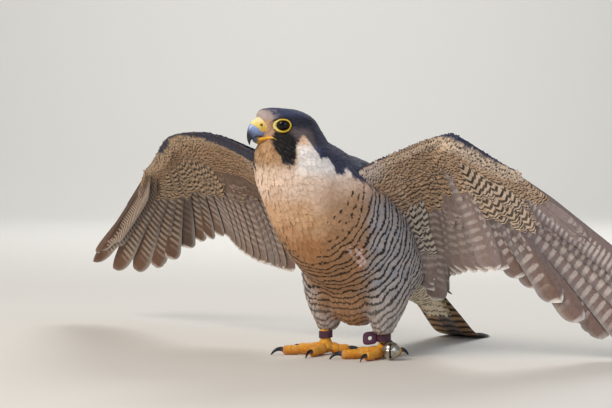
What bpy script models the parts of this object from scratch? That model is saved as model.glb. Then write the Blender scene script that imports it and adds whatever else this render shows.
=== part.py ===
import math

import bmesh
import bpy
import numpy as np
from mathutils import Matrix, Vector

# A life-size peregrine falcon standing on both feet with its wings half open and hanging.
# The bird faces -Y, its left is +X and up is +Z. Lengths below are in millimetres.
MM = 0.001
GAP = 0.3                   # clearance between neighbouring nodes
WELD = 0.1                  # points nearer than this are one
SNAP = 0.03                 # a cut passes through a point that is nearer to it than this
ORIGIN = (84.8, -54.0, 0)   # moves the feet's middle to where the box's middle is the origin

# Trunk: (y, z) on its axis, half width, half depth across the axis
TRUNK = [
    (-104, 194, 30, 30), (-88, 183, 42, 42), (-66, 166, 52, 50), (-40, 146, 58, 56),
    (-12, 124, 60, 57), (16, 105, 58, 54), (44, 91, 51, 45), (72, 81, 41, 34),
    (98, 71, 30, 22), (122, 58, 22, 13), (144, 43, 14, 6),
]
# Mantle and scapulars over the back: (y, z), half width, half depth
MANTLE = [(-66, 186, 28, 18), (-42, 181, 38, 24), (-12, 171, 42, 28), (20, 149, 38, 26), (54, 116, 28, 18)]
# Neck: height, y of its axis, half width, half length front to back
NECK = [
    (168, -76, 46, 53), (182, -86, 43, 48), (196, -94, 39, 45), (208, -98, 36, 42),
    (218, -97, 29, 35), (226, -95, 20, 23),
]
# Head: distance ahead of the skull's centre, half width, top, bottom
SKULL = (0, -92.8, 226.8)
HEAD_TURN = math.radians(24)
HEAD = [
    (-20.5, 8, 2, -14), (-17.5, 13, 7, -19), (-10, 17.6, 12.8, -22), (-1, 20, 16.4, -22),
    (9, 20.4, 18.4, -20), (18, 18.9, 18.7, -18), (26, 16.0, 18.0, -16.5), (32, 13.2, 16.8, -15.4),
    (37, 10.6, 15.0, -14.2), (41, 6.4, 12.0, -8),
]
BILL_START = 37
# Bill: forward, up, half width, half height of the section square to its curve
BILL_UPPER = [
    (35, 0.2, 8.3, 9.9), (40, 0.2, 7.4, 9.1), (44.5, -1.2, 6.3, 8.0), (47.8, -3.6, 4.9, 6.1),
    (50.2, -7.0, 3.4, 4.0), (51.5, -11.0, 2.0, 2.2), (51.4, -15.8, 0.45, 0.5),
]
BILL_LOWER = [
    (35, -13.2, 6.0, 2.9), (40, -13.2, 5.2, 2.7), (43.5, -12.9, 4.0, 2.2), (46.3, -12.6, 2.1, 1.1),
]
EYE = (21.2, 11.2, 2.2)     # forward, to the side, up from the skull's centre
EYE_RADIUS = 7.2

# Thigh and shank feathers: (x, y, z) on the left leg's axis, half width, half length
THIGH = [
    (28, -2, 112, 24, 33), (30, 2, 92, 26, 33), (32, 5, 70, 24.5, 30), (34, 5, 50, 19.5, 24.5),
    (35.3, 4, 36, 14, 16.5), (36, 3, 24, 9.5, 10.5),
]
THIGH_BACK = {"right": 0, "left": 7}    # how much further back each thigh is held
# Belly feathers between the thighs: height, y, half width, half length
BELLY = [
    (112, -2, 44, 46), (84, 6, 38, 40), (62, 8, 33, 32), (46, 8, 27, 23), (36, 8, 18, 14), (32, 8, 9, 8),
]
LEG_TOP = 64                # where the leg leaves the belly
LEG_END = 25                # where the feathers end above the foot
FOOT = {"right": (-31.5, -1), "left": (35, 5)}
TARSUS_RADIUS = 4.9
PALM_HEIGHT = 8.5
# Toes: bearing from straight ahead towards the bird's left in degrees, length, root and end radius
TOES = {
    "right": [(-45, 44, 5.4, 3.9), (8, 31, 5.2, 3.9), (-92, 34, 4.8, 3.6), (128, 24, 5.6, 4.2)],
    "left": [(-40, 44, 5.4, 3.9), (-88, 31, 5.2, 3.9), (2, 34, 4.8, 3.6), (174, 24, 5.6, 4.2)],
}
CLAW_LENGTH = [16, 17, 14, 20]

# Wing bones, and the directions of its flight feathers from the inmost to the outmost
WINGS = {
    "left": {
        "shoulder": (38, -55.7, 175.3), "elbow": (62, 23, 161), "wrist": (133.3, -38.1, 213.3),
        "hand": (0.49, 0.759, -0.429),
        "fan": [
            (0, (-0.32, 0.74, -0.59)), (2, (-0.22, 0.60, -0.77)), (3, (-0.15, 0.47, -0.87)),
            (8, (-0.22, 0.59, -0.78)), (11, (-0.15, 0.58, -0.80)), (14, (0.07, 0.53, -0.85)),
            (15, (0.10, 0.58, -0.81)), (17, (0.18, 0.60, -0.78)), (18, (0.25, 0.56, -0.79)),
            (20, (0.29, 0.60, -0.75)), (22, (0.42, 0.61, -0.67)), (23, (0.47, 0.62, -0.63)),
            (24, (0.48, 0.65, -0.59)),
        ],
    },
    "right": {
        "shoulder": (-38, -55.7, 175.3), "elbow": (-111, -14.8, 176.5), "wrist": (-198, -37, 213),
        "hand": (-0.78, 0.44, -0.443),
        "fan": [
            (0, (0.30, 0.74, -0.60)), (2, (0.12, 0.66, -0.74)), (3, (-0.05, 0.59, -0.80)),
            (8, (-0.09, 0.60, -0.79)), (11, (-0.14, 0.65, -0.75)), (14, (-0.14, 0.71, -0.69)),
            (15, (-0.20, 0.72, -0.67)), (17, (-0.39, 0.71, -0.59)), (19, (-0.54, 0.62, -0.57)),
            (21, (-0.66, 0.56, -0.50)), (23, (-0.77, 0.48, -0.42)), (24, (-0.77, 0.50, -0.39)),
        ],
    },
}
# Feather lengths from the skin: three tertials, twelve secondaries, ten primaries
TERTIALS = [88, 102, 114]
SECONDARIES = [127, 129, 131, 133, 135, 137, 139, 141, 142, 143, 144, 145]
PRIMARIES = [148, 155, 165, 178, 200, 224, 248, 266, 270, 250]
HAND_LENGTH = 80
# How far each primary's root lies behind the bone
HAND_BACK = {
    "left": [0, 1, 2, 3.5, 4.5, 5, 4.5, 2.5, 0, -3], "right": [0, 1, 2, 3, 3.5, 3, 1.5, -1, -5, -8.5],
}
LEAD = {"left": 11, "right": 14}         # flesh and coverts ahead of the feathers' roots
# How far the skin before the elbow arches forwards and upwards, and how near to the wrist it leans
ARCH = {"left": (7, 0, 1.6), "right": (10, 15, 0.95)}
BOW = 4                     # how far the outer primaries bow forwards
VANE = 0.6                  # half thickness of the blade

# Tail: its length, half widths along it, and how steeply it leaves the rump
TAIL_ROOT = (104, 83.5)
TAIL_LENGTH = 172
TAIL_PITCH = 38
TAIL_HALF = [(0, 15), (40, 22), (90, 28), (130, 31), (155, 30), (167, 22), (172, 10)]

BELL = (51.5, -7.5, 9.8)
BELL_RADIUS = 8.8

FINISHES = {
    "feather": ((0.42, 0.36, 0.30), 0.85, 0),
    "bill": ((0.16, 0.19, 0.22), 0.4, 0),
    "eye": ((0.02, 0.015, 0.012), 0.08, 0),
    "skin": ((0.80, 0.42, 0.05), 0.6, 0),
    "claw": ((0.03, 0.03, 0.035), 0.35, 0),
    "leather": ((0.16, 0.05, 0.12), 0.6, 0),
    "bell": ((0.75, 0.74, 0.70), 0.25, 1),
}


def clear_scene():
    for obj in list(bpy.data.objects):
        bpy.data.objects.remove(obj, do_unlink=True)
    for collection in list(bpy.data.collections):
        bpy.data.collections.remove(collection)


def new_collection(name):
    collection = bpy.data.collections.new(name)
    bpy.context.scene.collection.children.link(collection)
    return collection


def finish(name):
    found = bpy.data.materials.get(name)
    if found:
        return found
    colour, roughness, metallic = FINISHES[name]
    made = bpy.data.materials.new(name)
    made.use_nodes = True
    shader = made.node_tree.nodes["Principled BSDF"]
    shader.inputs["Base Color"].default_value = (*colour, 1)
    shader.inputs["Roughness"].default_value = roughness
    shader.inputs["Metallic"].default_value = metallic
    return made


def add_object(name, mesh, collection, finish_name=None):
    obj = bpy.data.objects.new(name, mesh)
    collection.objects.link(obj)
    if finish_name:
        mesh.materials.clear()
        mesh.materials.append(finish(finish_name))
    return obj


def unit(v):
    v = np.asarray(v, float)
    return v / np.linalg.norm(v)


def resample(rows, count):
    """Rows of numbers drawn out to count rows, along a smooth curve through them."""
    rows = np.asarray(rows, float)
    at = np.linspace(0, len(rows) - 1, count)
    low = np.clip(np.floor(at).astype(int), 0, len(rows) - 2)
    t = (at - low)[:, None]
    a, b = rows[low], rows[low + 1]
    before = rows[np.clip(low - 1, 0, len(rows) - 1)]
    after = rows[np.clip(low + 2, 0, len(rows) - 1)]
    m0, m1 = (b - before) / 2, (after - a) / 2
    return ((2 * t**3 - 3 * t**2 + 1) * a + (t**3 - 2 * t**2 + t) * m0
            + (-2 * t**3 + 3 * t**2) * b + (t**3 - t**2) * m1)


def loft_mesh(name, rings, blade=False):
    """A closed mesh through rings of equal count, in millimetres about the feet's middle.

    A blade's upper and lower sheets are split along the same diagonals, so that they never cross.
    """
    rings = np.asarray(rings, float)
    rows, count = rings.shape[:2]
    points = rings.reshape(-1, 3) * MM
    faces = []
    for i in range(rows - 1):
        for j in range(count):
            k = (j + 1) % count
            a, b, c, d = i * count + j, i * count + k, (i + 1) * count + k, (i + 1) * count + j
            if not blade:
                faces.append((a, b, c, d))
            elif j <= count // 2:
                faces += [(a, b, c), (a, c, d)]
            else:
                faces += [(a, b, d), (b, c, d)]
    faces.append(tuple(range(count))[::-1])
    faces.append(tuple(range((rows - 1) * count, rows * count)))
    mesh = bpy.data.meshes.new(name)
    mesh.from_pydata([tuple(p) for p in points], [], faces)
    tidy_mesh(mesh)
    return mesh


def tidy_mesh(mesh):
    """Merges points that nearly meet, triangulates, and turns the faces outwards."""
    bm = bmesh.new()
    bm.from_mesh(mesh)
    bmesh.ops.remove_doubles(bm, verts=bm.verts[:], dist=WELD * MM)
    bmesh.ops.triangulate(bm, faces=bm.faces[:], ngon_method="EAR_CLIP")
    bmesh.ops.recalc_face_normals(bm, faces=bm.faces[:])
    if bm.calc_volume(signed=True) < 0:
        bmesh.ops.reverse_faces(bm, faces=bm.faces[:])
    bm.to_mesh(mesh)
    bm.free()
    mesh.update()


def oval(centre, side, up, half_side, half_up, half_down, count=28, power=2.0):
    """A ring about centre, with its own height above and below."""
    angles = np.linspace(0, 2 * math.pi, count, endpoint=False)
    c, s = np.cos(angles), np.sin(angles)
    c = np.sign(c) * np.abs(c) ** (2 / power)
    s = np.sign(s) * np.abs(s) ** (2 / power)
    height = np.where(s > 0, half_up, half_down)
    return np.asarray(centre) + np.outer(c * half_side, side) + np.outer(s * height, up)


def tube_rings(path, half_side, half_up, side, count=12):
    """Rings square to a path that bends in the plane whose normal is side."""
    path = np.asarray(path, float)
    along = np.gradient(path, axis=0)
    return [
        oval(p, side, unit(np.cross(unit(d), side)), a, b, b, count)
        for p, d, a, b in zip(path, along, half_side, half_up)
    ]


def evaluated_mesh(obj):
    graph = bpy.context.evaluated_depsgraph_get()
    return bpy.data.meshes.new_from_object(obj.evaluated_get(graph))


def melted(name, meshes, voxel, smoothing, triangles, helpers):
    """One skin round overlapping meshes, smoothed and thinned to about the triangles asked for."""
    joined = bmesh.new()
    for mesh in meshes:
        joined.from_mesh(mesh)
    whole = bpy.data.meshes.new(name)
    joined.to_mesh(whole)
    joined.free()
    obj = add_object(name + "_lumps", whole, helpers)
    obj.hide_render = True
    remesh = obj.modifiers.new("skin", "REMESH")
    remesh.mode = "VOXEL"
    remesh.voxel_size = voxel * MM
    smooth = obj.modifiers.new("smooth", "SMOOTH")
    smooth.factor = 0.5
    smooth.iterations = smoothing
    full = evaluated_mesh(obj)
    thin = obj.modifiers.new("thin", "DECIMATE")
    thin.ratio = triangles / max(sum(len(p.vertices) - 2 for p in full.polygons), 1)
    mesh = evaluated_mesh(obj)
    bpy.data.objects.remove(obj, do_unlink=True)
    tidy_mesh(mesh)
    return mesh


def kept(mesh, name, planes):
    """The part of a closed mesh in front of every plane (point, normal), closed again."""
    bm = bmesh.new()
    bm.from_mesh(mesh)
    for point, normal in planes:
        found = bmesh.ops.bisect_plane(
            bm, geom=bm.verts[:] + bm.edges[:] + bm.faces[:], dist=SNAP * MM,
            plane_co=Vector(point) * MM, plane_no=Vector(normal), clear_inner=True,
        )
        edges = [e for e in found["geom_cut"] if isinstance(e, bmesh.types.BMEdge) and e.is_boundary]
        bmesh.ops.holes_fill(bm, edges=edges, sides=0)
    bmesh.ops.dissolve_degenerate(bm, dist=SNAP * MM, edges=bm.edges[:])
    out = bpy.data.meshes.new(name)
    bm.to_mesh(out)
    bm.free()
    tidy_mesh(out)
    return out


def largest(mesh):
    """Drops all but the biggest of the bodies in a mesh."""
    bm = bmesh.new()
    bm.from_mesh(mesh)
    unseen = set(bm.faces)
    groups = []
    while unseen:
        stack = [unseen.pop()]
        group = set(stack)
        while stack:
            for edge in stack.pop().edges:
                for face in edge.link_faces:
                    if face in unseen:
                        unseen.discard(face)
                        group.add(face)
                        stack.append(face)
        groups.append(group)
    groups.sort(key=len, reverse=True)
    for group in groups[1:]:
        bmesh.ops.delete(bm, geom=list(group), context="FACES")
    bm.to_mesh(mesh)
    bm.free()
    return mesh


def grown(mesh, distance, name):
    """A copy of a closed mesh with its surface moved outwards."""
    out = mesh.copy()
    out.name = name
    normals = np.empty(len(out.vertices) * 3)
    out.vertices.foreach_get("normal", normals)
    points = np.empty(len(out.vertices) * 3)
    out.vertices.foreach_get("co", points)
    out.vertices.foreach_set("co", points + normals * distance * MM)
    out.update()
    return out


def combined(name, mesh, operation, others, helpers):
    """The Boolean of a mesh with each of the others."""
    obj = add_object(name + "_work", mesh, helpers)
    obj.hide_render = True
    cutters = []
    for i, other in enumerate(others):
        cutter = add_object(f"{name}_cutter_{i}", other, helpers)
        cutter.hide_render = True
        cutter.display_type = "WIRE"
        cutters.append(cutter)
        modifier = obj.modifiers.new(f"{operation}_{i}", "BOOLEAN")
        modifier.operation = operation
        modifier.solver = "EXACT"
        modifier.object = cutter
    out = evaluated_mesh(obj)
    out.name = name
    for each in [obj, *cutters]:
        bpy.data.objects.remove(each, do_unlink=True)
    return out


# Head frame: ahead, to the bird's left, up
AHEAD = np.array([-math.sin(HEAD_TURN), -math.cos(HEAD_TURN), 0])
ASIDE = np.array([math.cos(HEAD_TURN), -math.sin(HEAD_TURN), 0])
UP = np.array([0, 0, 1.0])


def on_head(ahead, aside, up):
    return np.array(SKULL) + AHEAD * ahead + ASIDE * aside + UP * up


def trunk_lump():
    rows = resample(TRUNK, 34)
    path = np.stack([np.zeros(len(rows)), rows[:, 0], rows[:, 1]], 1)
    return loft_mesh("trunk_lump", tube_rings(path, rows[:, 2], rows[:, 3], (1, 0, 0), 32))


def neck_lump():
    rings = [
        oval((0, y, z), (1, 0, 0), (0, 1, 0), a, b, b, 32)
        for z, y, a, b in resample(NECK, 14)
    ]
    return loft_mesh("neck_lump", rings)


def head_lump():
    rings = []
    for ahead, half, top, bottom in resample(HEAD, 24):
        middle = (top + bottom) / 2 + 1
        rings.append(oval(on_head(ahead, 0, middle), ASIDE, UP, half, top - middle, middle - bottom,
                          32, 2.25))
    return loft_mesh("head_lump", rings)


def thigh_lump(side):
    mirror = 1 if side == "left" else -1
    rings = [
        oval((x * mirror + (FOOT[side][0] - 35.5 * mirror) * min(max((64 - z) / 34, 0), 1),
              y + THIGH_BACK[side] * min(max((z - 28) / 35, 0), 1), z),
             (1, 0, 0), (0, 1, 0), a, b, b, 28)
        for x, y, z, a, b in resample(THIGH, 16)
    ]
    return loft_mesh("thigh_lump", rings)


def mantle_lump():
    rows = resample(MANTLE, 14)
    path = np.stack([np.zeros(len(rows)), rows[:, 0], rows[:, 1]], 1)
    return loft_mesh("mantle_lump", tube_rings(path, rows[:, 2], rows[:, 3], (1, 0, 0), 28))


def belly_lump():
    rings = [oval((0, y, z), (1, 0, 0), (0, 1, 0), a, b, b, 28) for z, y, a, b in resample(BELLY, 12)]
    return loft_mesh("belly_lump", rings)


def toe_directions(side):
    return [
        (np.array([math.sin(math.radians(a)), -math.cos(math.radians(a)), 0]), length, r0, r1)
        for a, length, r0, r1 in TOES[side]
    ]


def foot_lumps(side):
    x, y = FOOT[side]
    lumps = []
    heights = [LEG_END - GAP + 6, 20, 14, PALM_HEIGHT + 0.5, 5]
    radii = [TARSUS_RADIUS] * 2 + [TARSUS_RADIUS + 0.6, 7.2, 6.4]
    lumps.append(loft_mesh("tarsus", [
        oval((x, y, z), (1, 0, 0), (0, 1, 0), r, r, r, 20) for z, r in zip(heights, radii)
    ]))
    for direction, length, r0, r1 in toe_directions(side):
        s = np.linspace(0, 1, 13)
        knuckles = 1 + 0.07 * np.cos(s * 2 * math.pi * 2.5)
        radius = (r0 + (r1 - r0) * s) * knuckles
        radius[-1] *= 0.7
        height = np.interp(s, [0, 0.3, 0.75, 1], [PALM_HEIGHT, 6.0, 4.0, 4.4])
        path = np.array([x, y, 0]) + np.outer(s * length, direction) + np.outer(height, UP)
        lumps.append(loft_mesh("toe", tube_rings(path, radius, radius, np.cross(direction, UP), 14)))
    return lumps


def claw_mesh(side, index):
    """A claw that leaves the toe's end, rises a little and curves down to the floor."""
    x, y = FOOT[side]
    direction, length, _, r1 = toe_directions(side)[index]
    reach = CLAW_LENGTH[index]
    s = np.linspace(0, 1, 8)
    turn = np.radians(16 - 92 * s)
    step = reach / 7
    ahead = np.concatenate([[0], np.cumsum(np.cos(turn[:-1]))]) * step
    rise = np.concatenate([[0], np.cumsum(np.sin(turn[:-1]))]) * step
    start = length + r1 * 0.25 + 1.0
    path = (np.array([x, y, 5.4]) + np.outer(start + ahead, direction) + np.outer(rise, UP))
    radius = (r1 * 0.66) * (1 - s) ** 0.75 + 0.35
    path[:, 2] = np.maximum(path[:, 2], radius + 0.25)
    rings = tube_rings(path, radius * 0.85, radius, np.cross(direction, UP), 5)
    return loft_mesh(f"claw_{side}_{index + 1}", rings)


def ring_mesh(name, centre, inner, outer, low, high, count=18):
    """A flat collar round an upright axis."""
    angles = np.linspace(0, 2 * math.pi, count, endpoint=False)
    x, y = centre
    points, faces = [], []
    for z, r in ((low, inner), (low, outer), (high, outer), (high, inner)):
        points += [(x + r * math.cos(a), y + r * math.sin(a), z) for a in angles]
    for i in range(4):
        for j in range(count):
            k, n = (j + 1) % count, (i + 1) % 4
            faces.append((i * count + j, i * count + k, n * count + k, n * count + j))
    mesh = bpy.data.meshes.new(name)
    mesh.from_pydata([tuple(np.array(p) * MM) for p in points], [], faces)
    tidy_mesh(mesh)
    return mesh


def feather_lengths():
    return np.array(TERTIALS + SECONDARIES + PRIMARIES, float)


def wing_feathers(side):
    """Root, tip, leading point and upper normal of every flight feather, inmost first."""
    pose = WINGS[side]
    shoulder, elbow, wrist = (np.array(pose[k], float) for k in ("shoulder", "elbow", "wrist"))
    hand = unit(pose["hand"])
    lengths = feather_lengths()
    keys = np.array([k for k, _ in pose["fan"]], float)
    fan = np.array([d for _, d in pose["fan"]])
    index = np.arange(25)
    direction = np.stack([np.interp(index, keys, fan[:, c]) for c in range(3)], 1)
    direction /= np.linalg.norm(direction, axis=1)[:, None]
    roots, leads = [], []

    def arm_edge(reach):
        ahead, rise, lean = ARCH[side]
        return (lead_shoulder + (lead_wrist - lead_shoulder) * reach
                + (forward * ahead + UP * rise) * math.sin(math.pi * reach**lean))

    trailing = direction[15] - hand * (direction[15] @ hand)
    forward = -unit(trailing)
    lead_wrist = wrist + forward * LEAD[side]
    lead_shoulder = shoulder + np.array([0, -6, 10])
    for i in range(25):
        if i < 3:
            share = (3 - i) / 3.6
            roots.append(elbow + (shoulder - elbow) * share)
            reach = 0.36 * (1 - share)
            leads.append(arm_edge(reach))
        elif i < 15:
            share = (14.6 - i) / 12
            roots.append(wrist + (elbow - wrist) * share)
            leads.append(arm_edge(1 - 0.64 * share))
        else:
            share = ((i - 14.5) / 9.5) ** 0.95
            bone = wrist + hand * HAND_LENGTH * share
            across = unit(np.cross(np.cross(direction[i], forward), direction[i]))
            roots.append(bone - across * HAND_BACK[side][i - 15])
            lean = unit(forward * (1 - share) + across * share)
            flesh = LEAD[side] * (1 - 0.35 * share) - 0.35 * min(HAND_BACK[side][i - 15], 0)
            leads.append(bone + lean * flesh)
    roots, leads = np.array(roots), np.array(leads)
    tips = roots + direction * lengths[:, None]
    span = np.gradient(tips * 0.5 + roots * 0.5, axis=0)
    normals = np.cross(span, direction)
    normals = normals / np.linalg.norm(normals, axis=1)[:, None] * (1 if normals[:, 2].sum() > 0 else -1)
    return roots, tips, leads, normals


# Where a wing's section is thick: share from leading edge to root then to tip, half thickness
SECTION = [(0, 0), (0.2, 4.4), (0.6, 6.2), (1.0, 5.2), (1.12, 2.5), (1.4, 0.9), (2.0, 0.6)]


def wing_ring(root, tip, lead, normal, thickness, bow=0.0):
    """One closed section of the wing from the leading edge past the roots to the feather's end."""
    top, bottom = [], []
    length = np.linalg.norm(tip - root)
    forwards = unit(np.cross(normal, tip - root))
    forwards = forwards * (1 if forwards @ (lead - root) > 0 else -1) * bow
    for share, half in SECTION:
        if share <= 1:
            t = share
            point = lead + (root - lead) * t + normal * (2.5 * math.sin(t * math.pi))
        else:
            t = share - 1
            point = root + (tip - root) * t + (normal * 0.05 * length + forwards) * 4 * t * (1 - t)
        half = max(half * thickness, VANE) if share > 0 else 0
        top.append(point + normal * half)
        bottom.append(point - normal * half)
    return np.array(top + bottom[:0:-1])


def wing_stations(side, first, last):
    """Sections for feathers first to last, with rounded ends and a notch between neighbours."""
    roots, tips, leads, normals = wing_feathers(side)
    lengths = feather_lengths()
    rings = []
    for i in range(first, last + 1):
        outer = max(0, (i - 18) / 6)
        thickness = float(np.interp(i, [0, 3, 12, 16, 24], [1.25, 1.2, 1.1, 1.0, 0.8]))
        if i < 18:
            offsets = [(-0.5, 0.05), (0.0, 0.0)]
        elif i == 18:
            offsets = [(-0.5, 0.05), (-0.12, 0.0), (0.25, 0.012)]
        else:
            notch = 0.06 + 0.09 * outer
            offsets = [(-0.5, notch), (-0.26, 0.03), (0.0, 0.0), (0.24, 0.025)]
        for offset, short in offsets:
            at = i + offset
            low = int(np.clip(math.floor(at), 0, 23))
            t = at - low
            root = roots[low] + (roots[low + 1] - roots[low]) * t
            lead = leads[low] + (leads[low + 1] - leads[low]) * t
            normal = unit(normals[low] + (normals[low + 1] - normals[low]) * t)
            way = unit(unit(tips[low] - roots[low]) * (1 - t)
                       + unit(tips[low + 1] - roots[low + 1]) * t)
            reach = lengths[low] + (lengths[low + 1] - lengths[low]) * t
            if offset > -0.5 and i >= 19:
                reach = lengths[i]
            rings.append(wing_ring(root, root + way * reach * (1 - short), lead, normal, thickness,
                                   BOW * min(max((at - 16) / 5, 0), 1)))
    # The outmost feather's narrow outer vane
    way = unit(tips[24] - roots[24])
    outward = unit(np.cross(normals[24], way))
    outward = outward * (1 if outward @ (leads[24] - roots[24]) > 0 else -1)
    root = roots[24] + outward * 4.5
    tip = roots[24] + way * lengths[24] * 0.95 + outward * 3.5
    rings.append(wing_ring(root, tip, leads[24] + outward * 0.8, normals[24], 0.42, BOW))
    return np.array(rings)


def wing_joint(side):
    """The plane between the innermost primary and the outmost secondary, facing the hand."""
    roots, tips, leads, normals = wing_feathers(side)
    way = unit(unit(tips[14] - roots[14]) + unit(tips[15] - roots[15]))
    across = unit(np.cross(way, normals[14] + normals[15]))
    if across @ (roots[24] - roots[14]) < 0:
        across = -across
    return (roots[14] + roots[15]) / 2, across


def tail_path(count):
    """Points down the middle of the tail, straight at first and eased flat onto the floor."""
    s = np.linspace(0, TAIL_LENGTH, 200)
    ease = np.clip((s - 102) / (TAIL_LENGTH - 20 - 102), 0, 1)
    pitch = np.radians(TAIL_PITCH) * (1 - ease * ease * (3 - 2 * ease))
    step = s[1]
    y = TAIL_ROOT[0] + np.concatenate([[0], np.cumsum(np.cos(pitch[:-1]))]) * step
    z = -np.concatenate([[0], np.cumsum(np.sin(pitch[:-1]))]) * step
    z += -z[-1]
    at = np.linspace(0, TAIL_LENGTH, count)
    return at, np.interp(at, s, y), np.interp(at, s, z), np.interp(at, s, pitch)


def tail_mesh():
    at, ys, zs, pitches = tail_path(15)
    half = np.interp(at, *np.array(TAIL_HALF, float).T)
    across = np.array([-1, -0.75, -0.4, 0, 0.4, 0.75, 1])
    rings = []
    for s, y, z, pitch, w in zip(at, ys, zs, pitches, half):
        up = np.array([0, math.sin(pitch), math.cos(pitch)])
        arch = 5.0 * (1 - across**2) * np.clip(1 - s / 150, 0, 1)
        depth = np.interp(s, [0, 30, 60, TAIL_LENGTH], [4.5, 3.0, 1.6, 1.2])
        middle = np.array([0, y, z])
        low = np.array([middle + np.array([a * w, 0, 0]) + up * h for a, h in zip(across, arch)])
        high = low + up * depth
        rings.append(np.concatenate([low, high[::-1]]))
    return loft_mesh("tail_plate", rings)


def bill_mesh(name, table, count):
    rows = resample(table, count)
    path = np.array([on_head(a, 0, u) for a, u, _, _ in rows])
    return loft_mesh(name, tube_rings(path, rows[:, 2], rows[:, 3], ASIDE, 12))


def ball(name, centre, radius, segments, rings):
    bm = bmesh.new()
    bmesh.ops.create_uvsphere(bm, u_segments=segments, v_segments=rings, radius=radius * MM)
    bmesh.ops.translate(bm, verts=bm.verts[:], vec=Vector(centre) * MM)
    mesh = bpy.data.meshes.new(name)
    bm.to_mesh(mesh)
    bm.free()
    return mesh


def beyond(plane, distance=0.0):
    """The side of a plane (point, normal) that its normal points to, from a distance past it."""
    point, normal = np.array(plane[0], float), unit(plane[1])
    return tuple(point + normal * distance), tuple(normal)


def behind(plane, distance=0.0):
    """The other side of the plane."""
    point, normal = np.array(plane[0], float), unit(plane[1])
    return tuple(point - normal * distance), tuple(-normal)


clear_scene()
falcon = new_collection("peregrine_falcon")
helpers = new_collection("helpers")
nodes = {}

body = melted("body", [trunk_lump(), mantle_lump(), neck_lump(), head_lump(), belly_lump(),
                       thigh_lump("left"), thigh_lump("right")], 3.2, 4, 1250, helpers)

# Planes (point, normal) that part the nodes
neck_low = ((0, -80, 178), (0, -0.62, 0.78))
neck_high = ((0, -98, 205), (0, -0.10, 0.995))
bill_face = (on_head(BILL_START, 0, 0), AHEAD)
tail_cut = ((0, 108, 66), (0, 0.86, -0.51))

half_gap = GAP / 2
head = kept(body, "head", [beyond(neck_high, half_gap), behind(bill_face)])
eyes = {side: on_head(EYE[0], EYE[1] * sign, EYE[2]) for side, sign in (("left", 1), ("right", -1))}
head = combined("head", head, "DIFFERENCE",
                [ball("socket", eyes[s], EYE_RADIUS + GAP + 0.25, 14, 9) for s in eyes], helpers)
nodes["head"] = (head, "feather")
nodes["neck"] = (kept(body, "neck", [beyond(neck_low, half_gap), behind(neck_high, half_gap)]),
                 "feather")
trunk = kept(body, "trunk", [behind(neck_low, half_gap), behind(tail_cut, half_gap),
                             ((0, 0, LEG_TOP + half_gap), (0, 0, 1))])
nodes["trunk"] = (largest(trunk), "feather")
for side, sign in (("left", 1), ("right", -1)):
    leg = kept(body, f"leg_{side}", [
        ((0, 0, LEG_TOP - half_gap), (0, 0, -1)), ((sign * half_gap, 0, 0), (sign, 0, 0)),
        behind(tail_cut, half_gap), ((0, 0, LEG_END), (0, 0, 1)),
    ])
    nodes[f"leg_{side}"] = (largest(leg), "feather")
    nodes[f"eye_{side}"] = (ball(f"eye_{side}", eyes[side], EYE_RADIUS, 14, 9), "eye")

tail_base = kept(body, "tail_base", [beyond(tail_cut, half_gap)])
tail = combined("tail", tail_mesh(), "UNION", [largest(tail_base)], helpers)
tail = kept(tail, "tail", [beyond(tail_cut, half_gap), ((0, 0, 0), (0, 0, 1))])
nodes["tail"] = (largest(tail), "feather")

for name, table, count in (("bill_upper", BILL_UPPER, 12), ("bill_lower", BILL_LOWER, 6)):
    nodes[name] = (kept(bill_mesh(name, table, count), name, [beyond(bill_face, GAP)]), "bill")

shell = grown(body, GAP + 0.3, "body_shell")
for side in ("left", "right"):
    wing = loft_mesh(f"wing_{side}", wing_stations(side, 1, 24), blade=True)
    joint = wing_joint(side)
    hand = kept(wing, f"wing_{side}_hand", [beyond(joint, half_gap)])
    arm = kept(wing, f"wing_{side}_arm", [behind(joint, half_gap)])
    arm = combined(f"wing_{side}_arm", largest(arm), "DIFFERENCE", [shell.copy()], helpers)
    nodes[f"wing_{side}_arm"] = (largest(arm), "feather")
    nodes[f"wing_{side}_hand"] = (largest(hand), "feather")

for side in ("left", "right"):
    foot = melted(f"foot_{side}", foot_lumps(side), 1.35, 3, 430, helpers)
    foot = kept(foot, f"foot_{side}", [((0, 0, 0), (0, 0, 1)), ((0, 0, LEG_END - GAP), (0, 0, -1))])
    nodes[f"foot_{side}"] = (largest(foot), "skin")
    for index in range(4):
        nodes[f"claw_{side}_{index + 1}"] = (claw_mesh(side, index), "claw")
    nodes[f"anklet_{side}"] = (
        ring_mesh(f"anklet_{side}", FOOT[side], TARSUS_RADIUS + 0.5, TARSUS_RADIUS + 2.1, 16.4, 23.8),
        "leather")

bell = ball("bell", BELL, BELL_RADIUS, 14, 10)
nodes["bell_left"] = (bell, "bell")

for name, (mesh, finish_name) in nodes.items():
    mesh.transform(Matrix.Translation(Vector(ORIGIN) * MM))
    tidy_mesh(mesh)
    add_object(name, mesh, falcon, finish_name)
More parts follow.
